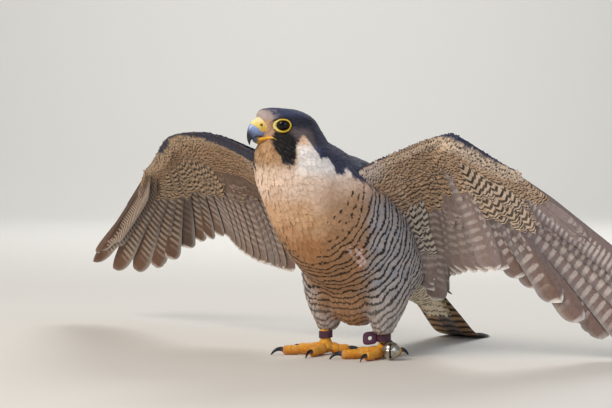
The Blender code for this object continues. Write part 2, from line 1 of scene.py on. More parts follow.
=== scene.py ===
import bpy
import numpy as np
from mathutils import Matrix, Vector


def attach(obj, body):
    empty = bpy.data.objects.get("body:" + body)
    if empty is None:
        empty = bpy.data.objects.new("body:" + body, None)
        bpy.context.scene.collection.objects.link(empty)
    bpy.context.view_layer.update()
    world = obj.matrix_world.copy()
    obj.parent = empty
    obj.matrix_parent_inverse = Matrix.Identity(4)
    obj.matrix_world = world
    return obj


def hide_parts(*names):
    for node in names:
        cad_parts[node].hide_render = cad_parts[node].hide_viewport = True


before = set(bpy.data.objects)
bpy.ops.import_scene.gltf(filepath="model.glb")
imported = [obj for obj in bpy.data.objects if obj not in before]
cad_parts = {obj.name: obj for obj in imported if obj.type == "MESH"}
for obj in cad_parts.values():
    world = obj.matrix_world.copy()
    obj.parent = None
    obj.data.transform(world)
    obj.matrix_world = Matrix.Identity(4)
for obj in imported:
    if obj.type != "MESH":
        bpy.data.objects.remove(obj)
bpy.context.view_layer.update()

# A life-size peregrine falcon. Lengths are millimetres in the bird's own frame, which has the
# feet's middle as its origin; the bird faces -Y, its left is +X and up is +Z.
bird = {"origin": (84.8, -54.0, 0.0), "metres": 0.001}


# Small tools for arrays
def unit(v):
    # each vector over its own length
    return v / np.maximum(np.linalg.norm(v, axis=-1, keepdims=True), 1e-9)


def ramp(x, low, high):
    # 0 below low, 1 above high, an S-curve between
    t = np.clip((np.asarray(x, float) - low) / (high - low), 0, 1)
    return t * t * (3 - 2 * t)


def mix(a, b, t):
    # a where t is 0, b where t is 1
    return np.asarray(a) + (np.asarray(b) - np.asarray(a)) * np.asarray(t)[..., None]


def linear(text):
    # sRGB hex to linear red, green, blue
    value = np.array([int(text[k:k + 2], 16) for k in (1, 3, 5)]) / 255
    return np.where(value <= 0.04045, value / 12.92, ((value + 0.055) / 1.055) ** 2.4)


def table(rows, at):
    # a smooth curve through rows of numbers, read at fractional row numbers (Catmull-Rom)
    rows = np.asarray(rows, float)
    at = np.asarray(at, float)
    low = np.clip(np.floor(at).astype(int), 0, len(rows) - 2)
    t = (at - low)[..., None]
    a, b = rows[low], rows[low + 1]
    before, after = rows[np.clip(low - 1, 0, None)], rows[np.clip(low + 2, None, len(rows) - 1)]
    m0, m1 = (b - before) / 2, (after - a) / 2
    return ((2 * t**3 - 3 * t**2 + 1) * a + (t**3 - 2 * t**2 + t) * m0
            + (-2 * t**3 + 3 * t**2) * b + (t**3 - t**2) * m1)


def drawnOut(rows, count):
    return table(rows, np.linspace(0, len(rows) - 1, count))


def column(at, keys, values):
    # np.interp for rows of values: each column is read at the same places
    values = np.asarray(values, float)
    return np.stack([np.interp(at, keys, values[:, c]) for c in range(values.shape[1])], -1)


def insideBy(x, y, corners):
    # signed distance to a polygon's outline, above 0 inside it
    corners = np.asarray(corners, float)
    p = np.stack([x, y], -1)[..., None, :]
    a, b = corners, np.roll(corners, -1, 0)
    edge = b - a
    t = np.clip(((p - a) * edge).sum(-1) / (edge**2).sum(-1), 0, 1)
    away = np.linalg.norm(p - a - t[..., None] * edge, axis=-1).min(-1)
    crosses = (a[:, 1] > p[..., 1]) != (b[:, 1] > p[..., 1])
    slope = np.where(edge[:, 1] == 0, 1, edge[:, 1])
    left = p[..., 0] < edge[:, 0] * (p[..., 1] - a[:, 1]) / slope + a[:, 0]
    return np.where((crosses & left).sum(-1) % 2 == 1, away, -away)


def softened(values, passes):
    # each row becomes a quarter, a half and a quarter of its neighbours and itself
    values = values.copy()
    for _ in range(passes):
        values[1:-1] = (values[:-2] + 2 * values[1:-1] + values[2:]) / 4
    return values


def waves(p, size, seed=0):
    # slow wandering value about 0 made of three crossed sine waves of that size
    q = np.asarray(p) * (2 * np.pi / size)
    return (np.sin(q[..., 0] + 1.3 * q[..., 1] + seed) + np.sin(q[..., 1] - 0.7 * q[..., 2] + 2.1 * seed)
            + np.sin(q[..., 2] + 0.9 * q[..., 0] + 3.7 * seed)) / 3


# Meshes from arrays
def solid(name, points, polygons, attributes=None, maps=None, crease=None):
    # a mesh object from points and lists of polygons; turned right side out by its signed volume
    points = np.asarray(points, float).reshape(-1, 3)
    volume = 0.0
    for group in polygons:
        a = points[group[:, 0]]
        for k in range(1, group.shape[1] - 1):
            volume += (a * np.cross(points[group[:, k]], points[group[:, k + 1]])).sum()
    if volume < 0:
        polygons = [group[:, ::-1] for group in polygons]
        maps = {key: [g[:, ::-1] for g in groups] for key, groups in (maps or {}).items()}
    loops = np.concatenate([group.ravel() for group in polygons]).astype(np.int32)
    sizes = np.concatenate([np.full(len(group), group.shape[1]) for group in polygons])
    mesh = bpy.data.meshes.new(name)
    mesh.vertices.add(len(points))
    mesh.vertices.foreach_set("co", ((points + bird["origin"]) * bird["metres"]).ravel())
    mesh.loops.add(len(loops))
    mesh.loops.foreach_set("vertex_index", loops)
    mesh.polygons.add(len(sizes))
    mesh.polygons.foreach_set("loop_start", summed(sizes[:-1]).astype(np.int32))
    mesh.update(calc_edges=True)
    for key, values in (attributes or {}).items():
        values = np.asarray(values, float).reshape(len(points), -1)
        if key in ("ground", "mark"):
            values = np.concatenate([values, np.ones((len(points), 1))], 1)
            mesh.attributes.new(key, "FLOAT_COLOR", "POINT").data.foreach_set("color", values.ravel())
        elif values.shape[1] == 3:
            mesh.attributes.new(key, "FLOAT_VECTOR", "POINT").data.foreach_set("vector", values.ravel())
        else:
            mesh.attributes.new(key, "FLOAT", "POINT").data.foreach_set("value", values.ravel())
    for key, groups in (maps or {}).items():
        layer = mesh.uv_layers.new(name=key)
        layer.uv.foreach_set("vector", np.concatenate([g.reshape(-1, 2) for g in groups]).ravel())
    mesh.shade_smooth()
    if crease:
        mesh.set_sharp_from_angle(angle=crease)
    obj = bpy.data.objects.new(name, mesh)
    bpy.context.scene.collection.objects.link(obj)
    return obj


def turns(count):
    # angles round a full circle
    return np.linspace(0, 2 * np.pi, count, endpoint=False)


def towards(bearing):
    # level way at a bearing in degrees, from straight ahead towards the bird's left
    return np.array([np.sin(np.radians(bearing)), -np.cos(np.radians(bearing)), 0])


def boxed(angle, power):
    # cosine and sine, each raised to a power with its sign kept; below 1 the circle squares up
    c, s = np.cos(angle), np.sin(angle)
    return np.sign(c) * np.abs(c) ** power, np.sign(s) * np.abs(s) ** power


def summed(steps):
    # the sum of all steps before each place
    return np.concatenate([[0], np.cumsum(steps)])


def read(rows, at):
    # the second of each row's two numbers, between rows, at a value of the first
    return np.interp(at, *np.array(rows, float).T)


def gridFaces(rows, columns, around=True, closed=False):
    # quads of a grid of points; its columns run around, and its rows do too when closed
    k = np.arange(rows * columns).reshape(rows, columns)
    n = np.roll(k, -1, 1)
    quads = np.stack([k, n, np.roll(n, -1, 0), np.roll(k, -1, 0)], -1)
    quads = quads if closed else quads[:-1]
    quads = quads if around else quads[:, :-1]
    return quads.reshape(-1, 4)


def tubeFaces(rows, count):
    # quads between rings of equal count, and a polygon over each end
    ring = np.arange(count)[None, :]
    return [gridFaces(rows, count), ring[:, ::-1], ring + (rows - 1) * count]


def ovals(centres, side, up, halfSide, halfUp, halfDown, count=28, power=2.0):
    # rings: centre + side * halfSide * cos + up * half height * sin, each raised to 2 / power
    c, s = boxed(turns(count), 2 / power)
    halfSide, halfUp, halfDown = (np.broadcast_to(h, len(centres))[:, None] for h in
                                  (halfSide, halfUp, halfDown))
    height = np.where(s > 0, halfUp * s, halfDown * s)
    side, up = (np.broadcast_to(v, (len(centres), 3))[:, None, :] for v in (side, up))
    return np.asarray(centres)[:, None, :] + (halfSide * c)[..., None] * side + height[..., None] * up


def alongPath(path, side, halfSide, halfUp, count=28, power=2.0):
    # rings square to a path that bends in the plane whose normal is side
    path = np.asarray(path, float)
    up = unit(np.cross(unit(np.gradient(path, axis=0)), side))
    return ovals(path, side, up, halfSide, halfUp, halfUp, count, power)


def drop(obj):
    mesh = obj.data
    bpy.data.objects.remove(obj, do_unlink=True)
    bpy.data.meshes.remove(mesh)


def shapeOf(obj):
    # points in millimetres and polygons' corner lists of an object as its modifiers leave it
    made = obj.evaluated_get(bpy.context.evaluated_depsgraph_get()).data
    points = np.empty(len(made.vertices) * 3, np.float32)
    made.vertices.foreach_get("co", points)
    loops = np.empty(len(made.loops), np.int32)
    made.loops.foreach_get("vertex_index", loops)
    starts = np.empty(len(made.polygons), np.int32)
    made.polygons.foreach_get("loop_start", starts)
    sizes = np.diff(np.append(starts, len(loops)))
    groups = [loops[starts[sizes == n][:, None] + np.arange(n)] for n in np.unique(sizes)]
    return points.reshape(-1, 3) / bird["metres"] - bird["origin"], groups


def melted(name, rings, voxel, smoothing):
    # one skin round overlapping closed lofts: voxel remesh, then smoothing
    points, groups, start = [], [], 0
    for each in rings:
        faces = tubeFaces(*each.shape[:2])
        points.append(each.reshape(-1, 3))
        groups += [g + start for g in faces]
        start += each.shape[0] * each.shape[1]
    lumps = solid(name + "Lumps", np.concatenate(points), groups)
    skinModifier = lumps.modifiers.new("skin", "REMESH")
    skinModifier.mode = "VOXEL"
    skinModifier.voxel_size = voxel * bird["metres"]
    even = lumps.modifiers.new("even", "SMOOTH")
    even.factor = 0.5
    even.iterations = smoothing
    shape = shapeOf(lumps)
    drop(lumps)
    return shape


def normalsOf(points, groups):
    # each point's normal: the sum of its faces' area vectors
    total = np.zeros_like(points)
    for group in groups:
        area = np.cross(points[group[:, 2]] - points[group[:, 0]],
                        points[group[:, -1]] - points[group[:, 1]])
        for k in range(group.shape[1]):
            np.add.at(total, group[:, k], area)
    return unit(total)


# Materials
def addNode(tree, kind, settings=None, **links):
    # one node with its settings; links are input names (spaces as _) or numbers (i0, i1 and so
    # on) to values or sockets
    node = tree.nodes.new(kind)
    for key, value in (settings or {}).items():
        setattr(node, key, value)
    for key, value in links.items():
        numbered = key[0] == "i" and key[1:].isdigit()
        socket = node.inputs[int(key[1:]) if numbered else key.replace("_", " ")]
        if isinstance(value, bpy.types.NodeSocket):
            tree.links.new(value, socket)
        else:
            socket.default_value = value
    return node


def maths(tree, operation, *values, clamp=False):
    inputs = {f"i{k}": value for k, value in enumerate(values)}
    return addNode(tree, "ShaderNodeMath", {"operation": operation, "use_clamp": clamp}, **inputs).outputs[0]


def ranged(tree, value, low, high, start=0.0, end=1.0, kind="LINEAR"):
    return addNode(tree, "ShaderNodeMapRange", {"interpolation_type": kind}, Value=value, From_Min=low,
                   From_Max=high, To_Min=start, To_Max=end).outputs[0]


def blended(tree, share, low, high, kind="MIX"):
    return addNode(tree, "ShaderNodeMix", {"data_type": "RGBA", "blend_type": kind}, i0=share, i6=low,
                   i7=high).outputs[2]


def attribute(tree, name, output="Color"):
    return addNode(tree, "ShaderNodeAttribute", {"attribute_name": name}).outputs[output]


def newMaterial(name, **values):
    # a material, its nodes, its shader and its place in the object's own coordinates
    material = bpy.data.materials.new(name)
    material.use_nodes = True
    tree = material.node_tree
    shader = tree.nodes["Principled BSDF"]
    for key, value in values.items():
        shader.inputs[key.replace("_", " ")].default_value = value
    return material, tree, shader


def surfaced(tree, shader, colour, height, strength, distance):
    # the shader's colour, and its normal from a bump
    bump = addNode(tree, "ShaderNodeBump", Strength=strength, Distance=distance, Height=height)
    tree.links.new(colour, shader.inputs["Base Color"])
    tree.links.new(bump.outputs["Normal"], shader.inputs["Normal"])


def hexColour(text):
    return (*linear(text), 1)


def plumageMaterial():
    # Feather keratin: dry, matt vanes with a faint silk along the barbs, and dark melanin marks.
    # The marks come from each feather's own attributes: bars from a running phase, spots from a
    # limit across the vane, and a paler fringe at its edge.
    barbs = {"spacing": 0.8, "height": 0.00012}      # real barbs stand 0.3 mm apart, too fine to show
    material, tree, shader = newMaterial(
        "featherKeratin", Roughness=0.75, Sheen_Weight=0.05, Sheen_Roughness=0.5, IOR=1.54,
        Specular_IOR_Level=0.2)
    bars = addNode(tree, "ShaderNodeSeparateXYZ", i0=attribute(tree, "barring", "Vector")).outputs
    edge = addNode(tree, "ShaderNodeSeparateXYZ", i0=attribute(tree, "edging", "Vector")).outputs
    place = addNode(tree, "ShaderNodeTexCoord").outputs["Object"]
    ragged = addNode(tree, "ShaderNodeTexNoise", Vector=place, Scale=900.0, Detail=3.0)
    wander = maths(tree, "MULTIPLY_ADD", ragged.outputs["Fac"], 0.34, -0.17)
    fromBar = maths(tree, "PINGPONG", maths(tree, "ADD", bars["X"], wander), 0.5)
    inBar = maths(tree, "SUBTRACT", bars["Y"], fromBar)
    barMask = maths(tree, "MULTIPLY_ADD", inBar, 9.0, 0.5, clamp=True)
    spotMask = maths(tree, "MULTIPLY_ADD", edge["X"], 4.0, 0.5, clamp=True)
    both = maths(tree, "MULTIPLY", barMask, spotMask)
    strength = maths(tree, "MULTIPLY", both, bars["Z"], clamp=True)
    marked = blended(tree, strength, attribute(tree, "ground"), attribute(tree, "mark"))
    vane = addNode(tree, "ShaderNodeUVMap", {"uv_map": "vane"})
    split = addNode(tree, "ShaderNodeSeparateXYZ", i0=vane.outputs["UV"])
    across = maths(tree, "ABSOLUTE", split.outputs["X"])
    rim = ranged(tree, across, 0.45, 0.95, kind="SMOOTHSTEP")
    fringe = maths(tree, "MULTIPLY", rim, edge["Y"], clamp=True)
    fringed = blended(tree, fringe, marked, hexColour("#a9a49c"), "SCREEN")
    # fine mottling, a little lighter and darker from feather to feather
    mottle = addNode(tree, "ShaderNodeTexNoise", Vector=place, Scale=260.0, Detail=4.0, Roughness=0.65)
    value = ranged(tree, mottle.outputs["Fac"], 0.25, 0.75, 0.82, 1.18)
    toned = addNode(tree, "ShaderNodeVectorMath", {"operation": "SCALE"}, i0=fringed, i3=value)
    # barbs run out and forwards from the shaft
    slant = maths(tree, "MULTIPLY_ADD", across, -3.0, edge["Z"])
    barb = maths(tree, "PINGPONG", slant, barbs["spacing"])
    surfaced(tree, shader, toned.outputs[0], barb, 0.35, barbs["height"])
    return material


def tonedMaterial(name, low, high, scale, bumpHeight, **values):
    # two colours shared out by a noise of that scale (per metre), and a bump from the same noise,
    # over the colour that the piece carries in its attribute "ground"
    material, tree, shader = newMaterial(name, **values)
    place = addNode(tree, "ShaderNodeTexCoord").outputs["Object"]
    noise = addNode(tree, "ShaderNodeTexNoise", Vector=place, Scale=scale, Detail=4.0).outputs["Fac"]
    tone = blended(tree, ranged(tree, noise, 0.3, 0.7), hexColour(low), hexColour(high))
    colour = blended(tree, 1.0, attribute(tree, "ground"), tone, "MULTIPLY")
    surfaced(tree, shader, colour, noise, 0.5, bumpHeight)
    return material


def footMaterial():
    # Foot skin: dry horny scales, plates across the toes' tops and grains at their sides
    scales = {"grain": 0.0016, "height": 0.0005}
    material, tree, shader = newMaterial("scalyFootSkin", Roughness=0.5, Subsurface_Weight=0.08,
                                         Subsurface_Scale=0.002, IOR=1.5)
    place = addNode(tree, "ShaderNodeTexCoord").outputs["Object"]
    cells = addNode(tree, "ShaderNodeTexVoronoi", {"feature": "DISTANCE_TO_EDGE"}, Vector=place,
                    Scale=1 / scales["grain"])
    gaps = ranged(tree, cells.outputs["Distance"], 0.02, 0.22)
    tone = blended(tree, gaps, hexColour("#dcae78"), hexColour("#ffffff"))
    colour = blended(tree, 1.0, attribute(tree, "ground"), tone, "MULTIPLY")
    surfaced(tree, shader, colour, gaps, 0.8, scales["height"])
    return material


plumage = plumageMaterial()
# Cere, lids and gape: naked waxy skin, soft and slightly translucent
waxySkin = tonedMaterial("waxyCereSkin", "#efe6d8", "#ffffff", 1100.0, 0.00025, Roughness=0.42,
                         Subsurface_Weight=0.15, Subsurface_Scale=0.002, IOR=1.45)
# Bill horn: smooth grown keratin with a low polish
billHorn = tonedMaterial("billHorn", "#d0d2d8", "#ffffff", 500.0, 0.00012, Roughness=0.3, IOR=1.55)
# Claw horn: darker and glossier than the bill
clawHorn = tonedMaterial("clawHorn", "#b8b8c0", "#ffffff", 420.0, 0.0001, Roughness=0.26, IOR=1.55)
# Eye: a wet cornea over a nearly black brown iris
eyeWet = tonedMaterial("wetEye", "#c8c8c8", "#ffffff", 900.0, 0.00001, Roughness=0.04, IOR=1.34)
# Leather: vegetable-tanned calf, dyed and waxed, with fine creases
calfLeather = tonedMaterial("dyedCalfLeather", "#b0a8ac", "#ffffff", 1400.0, 0.0003, Roughness=0.55,
                            IOR=1.5)
# Bell: spun nickel silver, dulled by handling
bellMetal = tonedMaterial("nickelSilver", "#9a958c", "#ffffff", 300.0, 0.00006, Metallic=1.0,
                          Roughness=0.28)

footSkin = footMaterial()


def finished(obj, material, replaced=()):
    # every piece rides on the one body and takes its finish from a slot
    obj.data.materials.append(material)
    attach(obj, "root")
    if replaced:
        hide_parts(*replaced)
    return obj


def markings(ground, mark, barring, edging):
    # what a feather's points carry: two colours, its bars (phase, half width, strength) and its
    # edging (limit of the bars, fringe, run of the barbs)
    barring, edging = (np.stack(np.broadcast_arrays(*values), -1) for values in (barring, edging))
    return {"ground": np.broadcast_to(ground, barring.shape), "mark": np.broadcast_to(mark, barring.shape),
            "barring": barring, "edging": edging}


def formed(name, points, faces, ground, material, replaced=()):
    # a finished piece whose ground is one colour, or one for each point
    points = points.reshape(-1, 3)
    colours = np.broadcast_to(ground.reshape(-1, 3), points.shape)
    return finished(solid(name, points, faces, {"ground": colours}), material, replaced)


# The body's form
body = {
    # trunk: (y, z) on its axis, half width, half depth across the axis
    "trunk": [(-104, 194, 30, 30), (-88, 183, 42, 42), (-66, 166, 52, 50), (-40, 146, 58, 56),
              (-12, 124, 60, 57), (16, 105, 58, 54), (44, 91, 51, 45), (72, 81, 41, 34),
              (98, 71, 30, 22), (122, 58, 22, 13), (144, 43, 14, 6)],
    "mantle": [(-66, 186, 28, 18), (-42, 181, 38, 24), (-12, 171, 42, 28), (20, 149, 38, 26),
               (54, 116, 28, 18)],
    # neck: height, y of its axis, half width, half length front to back
    "neck": [(136, -58, 44, 45), (152, -67, 46, 48.5), (168, -76, 46, 51), (182, -86, 43, 47.5),
             (196, -94, 39, 45), (206, -97.5, 35, 41.5), (214, -98, 30, 37), (221, -97, 25.5, 31),
             (228, -95.5, 21, 25), (234, -94, 14, 17)],
    # thigh and shank: (x, y, z) on the left leg's axis, half width, half length
    "thigh": [(28, -2, 112, 24, 33), (30, 2, 92, 26, 33), (32, 5, 70, 24.5, 30),
              (34, 5, 50, 19.5, 24.5), (35.3, 4, 36, 14, 16.5), (36, 3, 24, 9.5, 10.5)],
    "thighBack": {"right": 0, "left": 7},
    "belly": [(112, -2, 44, 46), (84, 6, 38, 40), (62, 8, 33, 32), (46, 8, 28, 24), (36, 8, 20, 16),
              (30, 8, 10, 9)],
    "voxel": 2.0, "smoothing": 14,
    # how deep the coat is over the skin
    "coat": {"head": 1.0, "neck": 2.0, "trunk": 2.6, "leg": 2.3},
}
head = {
    "centre": (0, -92.8, 226.8), "turn": np.radians(24),
    # ahead of the centre, half width, top, bottom
    "rows": [(-20.5, 8, 2, -14), (-17.5, 13, 7, -19), (-10, 17.6, 12.8, -22), (-1, 20, 16.4, -22),
             (9, 20.4, 18.4, -20), (18, 18.9, 18.7, -18), (26, 16.0, 18.0, -16.5),
             (32, 13.2, 16.8, -15.4), (37, 10.6, 15.0, -14.2), (41, 6.4, 12.0, -8)],
}
eye = {
    "at": (21.2, 11.2, 2.2), "radius": 7.2, "forwards": np.radians(30),
    # opening: half length, half height; orbital ring: reach forwards, back, up, down
    "opening": (6.2, 5.1), "ring": (10.6, 8.2, 6.5, 7.9),
}
feet = {"right": (-31.5, -1.0), "left": (35.0, 5.0)}
tail = {"root": (104, 83.5), "length": 172, "pitch": np.radians(38),
        "half": [(0, 15), (40, 22), (90, 28), (130, 31), (155, 30), (167, 22), (172, 10)]}

upwards = np.array([0, 0, 1.0])
ahead = np.array([-np.sin(head["turn"]), -np.cos(head["turn"]), 0])
aside = np.array([np.cos(head["turn"]), -np.sin(head["turn"]), 0])


def onHead(a, s, u):
    # ahead of the skull's centre, to the bird's left, up
    a, s, u = np.broadcast_arrays(np.asarray(a, float), np.asarray(s, float), np.asarray(u, float))
    return np.array(head["centre"]) + a[..., None] * ahead + s[..., None] * aside + u[..., None] * upwards


def headPlace(p):
    d = np.asarray(p) - head["centre"]
    return d @ ahead, d @ aside, d[..., 2]


def bodyRings():
    rings = []
    for key, count, sides in (("trunk", 40, 40), ("mantle", 16, 32)):
        rows = drawnOut(body[key], count)
        path = np.stack([np.zeros(count), rows[:, 0], rows[:, 1]], 1)
        rings.append(alongPath(path, (1, 0, 0), rows[:, 2], rows[:, 3], sides))
    for key, count in (("neck", 18), ("belly", 14)):
        rows = drawnOut(body[key], count)
        path = np.stack([np.zeros(count), rows[:, 1], rows[:, 0]], 1)
        rings.append(ovals(path, (1, 0, 0), (0, 1, 0), rows[:, 2], rows[:, 3], rows[:, 3], 40))
    rows = drawnOut(head["rows"], 30)
    middle = (rows[:, 2] + rows[:, 3]) / 2 + 1
    rings.append(ovals(onHead(rows[:, 0], 0, middle), aside, upwards, rows[:, 1], rows[:, 2] - middle,
                       middle - rows[:, 3], 40, 2.25))
    for side, mirror in (("left", 1), ("right", -1)):
        rows = drawnOut(body["thigh"], 20)
        z = rows[:, 2]
        x = rows[:, 0] * mirror + (feet[side][0] - 35.5 * mirror) * np.clip((64 - z) / 34, 0, 1)
        y = rows[:, 1] + body["thighBack"][side] * np.clip((z - 28) / 35, 0, 1)
        rings.append(ovals(np.stack([x, y, z], 1), (1, 0, 0), (0, 1, 0), rows[:, 3], rows[:, 4],
                           rows[:, 4], 32))
    return rings


def eyeFrame(sign):
    # the eye's centre, and its axes outwards, forwards and up
    centre = onHead(eye["at"][0], eye["at"][1] * sign, eye["at"][2])
    out = aside * sign * np.cos(eye["forwards"]) + ahead * np.sin(eye["forwards"])
    return centre, out, unit(ahead - out * (ahead @ out)), upwards


def ringReach(x, z):
    # elliptical distance from the eye's middle, 1 on the orbital ring's outer edge
    front, back, top, bottom = eye["ring"]
    return np.hypot(x / np.where(x > 0, front, back), z / np.where(z > 0, top, bottom))


def sunkEyes(points):
    # the bowl that each eye lies in, and the brow that hangs over it
    for sign in (1, -1):
        centre, out, forth, up = eyeFrame(sign)
        d = points - centre
        h, x, z = d @ out, d @ forth, d @ up
        near = (h > -2) & (np.abs(x) < 24) & (np.abs(z) < 16)
        reach = ringReach(x, z)
        bowl = 3.4 + 1.2 * ramp(x, -6, 9) + 5.0 * ramp(reach, 0.95, 1.5)
        bowl = bowl + 14 * ramp(np.abs(z), 9, 16) + 14 * ramp(np.abs(x), 16, 24)
        brow = 1.5 * np.exp(-((x - 2) / 8) ** 2 - ((z - 8.4) / 2.2) ** 2)
        points = points + np.where(near, np.minimum(bowl - h, 0) + brow, 0)[:, None] * out
    # the fluffed forehead
    a, s, u = headPlace(points)
    rise = ramp(a, 12, 38) * (1 - ramp(a, 60, 70)) * ramp(u, 5, 11) * (1 - ramp(np.abs(s), 7, 15))
    return points + rise[:, None] * (2.6 * upwards + 2.4 * ramp(a, 28, 38)[:, None] * ahead)


# Wings: the sheet that flesh, coverts and flight feathers share
wing = {
    "left": {
        "shoulder": (38, -55.7, 175.3), "elbow": (62, 23, 161), "wrist": (133.3, -38.1, 213.3),
        "hand": (0.49, 0.759, -0.429), "arch": (7, 0, 1.6), "lead": 11,
        "handBack": [0, 1, 2, 3.5, 4.5, 5, 4.5, 2.5, 0, -3],
        "fan": [(0, (-0.32, 0.74, -0.59)), (2, (-0.22, 0.60, -0.77)), (3, (-0.15, 0.47, -0.87)),
                (8, (-0.22, 0.59, -0.78)), (11, (-0.15, 0.58, -0.80)), (14, (0.07, 0.53, -0.85)),
                (15, (0.10, 0.58, -0.81)), (17, (0.18, 0.60, -0.78)), (18, (0.25, 0.56, -0.79)),
                (20, (0.29, 0.60, -0.75)), (22, (0.42, 0.61, -0.67)), (23, (0.47, 0.62, -0.63)),
                (24, (0.48, 0.65, -0.59))],
    },
    "right": {
        "shoulder": (-38, -55.7, 175.3), "elbow": (-111, -14.8, 176.5), "wrist": (-198, -37, 213),
        "hand": (-0.78, 0.44, -0.443), "arch": (10, 15, 0.95), "lead": 14,
        "handBack": [0, 1, 2, 3, 3.5, 3, 1.5, -1, -5, -8.5],
        "fan": [(0, (0.30, 0.74, -0.60)), (2, (0.12, 0.66, -0.74)), (3, (-0.05, 0.59, -0.80)),
                (8, (-0.09, 0.60, -0.79)), (11, (-0.14, 0.65, -0.75)), (14, (-0.14, 0.71, -0.69)),
                (15, (-0.20, 0.72, -0.67)), (17, (-0.39, 0.71, -0.59)), (19, (-0.54, 0.62, -0.57)),
                (21, (-0.66, 0.56, -0.50)), (23, (-0.77, 0.48, -0.42)), (24, (-0.77, 0.50, -0.39))],
    },
    # lengths of three tertials, twelve secondaries and ten primaries
    "lengths": [88, 102, 114, 127, 129, 131, 133, 135, 137, 139, 141, 142, 143, 144, 145,
                148, 155, 165, 178, 200, 224, 248, 266, 270, 250],
    "handLength": 80, "bow": 4,
    # share from leading edge to root then to tip, half thickness
    "section": [(0, 0), (0.2, 4.4), (0.6, 6.2), (1.0, 5.2), (1.12, 2.5), (1.4, 0.9), (2.0, 0.6)],
    "thick": [(0, 1.25), (3, 1.2), (12, 1.1), (16, 1.0), (24, 0.8)],
}


def wingBones(side):
    # root, way, leading point and upper normal of every flight feather, inmost first
    pose = wing[side]
    shoulder, elbow, wrist = (np.array(pose[k], float) for k in ("shoulder", "elbow", "wrist"))
    hand = unit(np.array(pose["hand"], float))
    index = np.arange(25)
    way = unit(column(index, [k for k, _ in pose["fan"]], [d for _, d in pose["fan"]]))
    forward = -unit(way[15] - hand * (way[15] @ hand))
    start, end = shoulder + np.array([0, -6, 10]), wrist + forward * pose["lead"]

    def armEdge(reach):
        forth, rise, lean = pose["arch"]
        bulge = np.sin(np.pi * reach**lean)[:, None]
        return start + (end - start) * reach[:, None] + (forward * forth + upwards * rise) * bulge

    tertial, second, prime = index[:3], index[3:15], index[15:]
    share = (3 - tertial) / 3.6
    roots, leads = [elbow + (shoulder - elbow) * share[:, None]], [armEdge(0.36 * (1 - share))]
    share = (14.6 - second) / 12
    roots.append(wrist + (elbow - wrist) * share[:, None])
    leads.append(armEdge(1 - 0.64 * share))
    share = (((prime - 14.5) / 9.5) ** 0.95)[:, None]
    bone = wrist + hand * wing["handLength"] * share
    across = unit(np.cross(np.cross(way[15:], forward), way[15:]))
    back = np.array(pose["handBack"])[:, None]
    roots.append(bone - across * back)
    flesh = pose["lead"] * (1 - 0.35 * share) - 0.35 * np.minimum(back, 0)
    leads.append(bone + unit(forward * (1 - share) + across * share) * flesh)
    roots, leads = np.concatenate(roots), np.concatenate(leads)
    lengths = np.array(wing["lengths"], float)
    tips = roots + way * lengths[:, None]
    normals = unit(np.cross(np.gradient((tips + roots) / 2, axis=0), way))
    normals = unit(softened(normals * np.sign(normals[:, 2].sum()), 3))
    return {"roots": roots, "ways": way, "leads": leads, "normals": normals, "lengths": lengths}


def softBones(bones):
    # the same wing without the fan's creases, for the flesh and the coverts over it
    passes = {"roots": 2, "leads": 2, "ways": 4, "normals": 4, "lengths": 1}
    return {key: softened(bones[key], count) for key, count in passes.items()}


def onWing(bones, i, m):
    # place, upper normal, half thickness and way out at feather number i (with fractions),
    # m millimetres behind the leading edge: straight to the root, then along the bowed feather
    keys = np.arange(25)
    i, m = np.broadcast_arrays(np.asarray(i, float), np.asarray(m, float))
    root, lead, way, normal = (column(i, keys, bones[k]) for k in ("roots", "leads", "ways", "normals"))
    way, normal = unit(way), unit(normal)
    length = np.interp(i, keys, bones["lengths"])
    chord = np.linalg.norm(root - lead, axis=-1)
    t = np.clip(m / chord, 0, 1)
    f = np.clip((m - chord) / length, 0, None)
    forwards = unit(np.cross(normal, way))
    forwards = forwards * np.sign((forwards * (lead - root)).sum(-1, keepdims=True))
    bow = wing["bow"] * np.clip((i - 16) / 5, 0, 1)
    curve = (4 * f * (1 - f))[..., None]
    place = (lead + (root - lead) * t[..., None] + normal * (2.5 * np.sin(t * np.pi))[..., None]
             + way * (length * f)[..., None]
             + (normal * (0.05 * length)[..., None] + forwards * bow[..., None]) * curve)
    half = read(wing["section"], t + f) * read(wing["thick"], i)
    heading = unit(np.where((m < chord)[..., None], root - lead, way))
    return place, normal, half, heading


def wingFlesh(bones, thinner):
    # closed sections of the wing's flesh, from the leading edge to just past the roots
    i = np.linspace(0.2, 24, 60)
    share = np.array([0.03, 0.12, 0.3, 0.55, 0.8, 1.0, 1.1])
    chord = np.linalg.norm(column(i, np.arange(25), bones["roots"] - bones["leads"]), axis=-1)
    m = chord[:, None] * share
    place, normal, half, _ = onWing(bones, i[:, None], m)
    half = np.maximum(half - thinner, 0.9)[..., None]
    return np.concatenate([place + normal * half, (place - normal * half)[:, ::-1]], 1)


wingBoneSets = {side: wingBones(side) for side in ("left", "right")}
covertBoneSets = {side: softBones(bones) for side, bones in wingBoneSets.items()}


def tailLine(s):
    # distance back and height of the tail's middle, and its pitch, at s along it
    fine = np.linspace(0, tail["length"], 400)
    pitch = tail["pitch"] * (1 - ramp(fine, 102, tail["length"] - 20))
    step = fine[1]
    y = tail["root"][0] + summed(np.cos(pitch[:-1])) * step
    z = -summed(np.sin(pitch[:-1])) * step
    z = z - z[-1]
    return np.interp(s, fine, y), np.interp(s, fine, z), np.interp(s, fine, pitch)


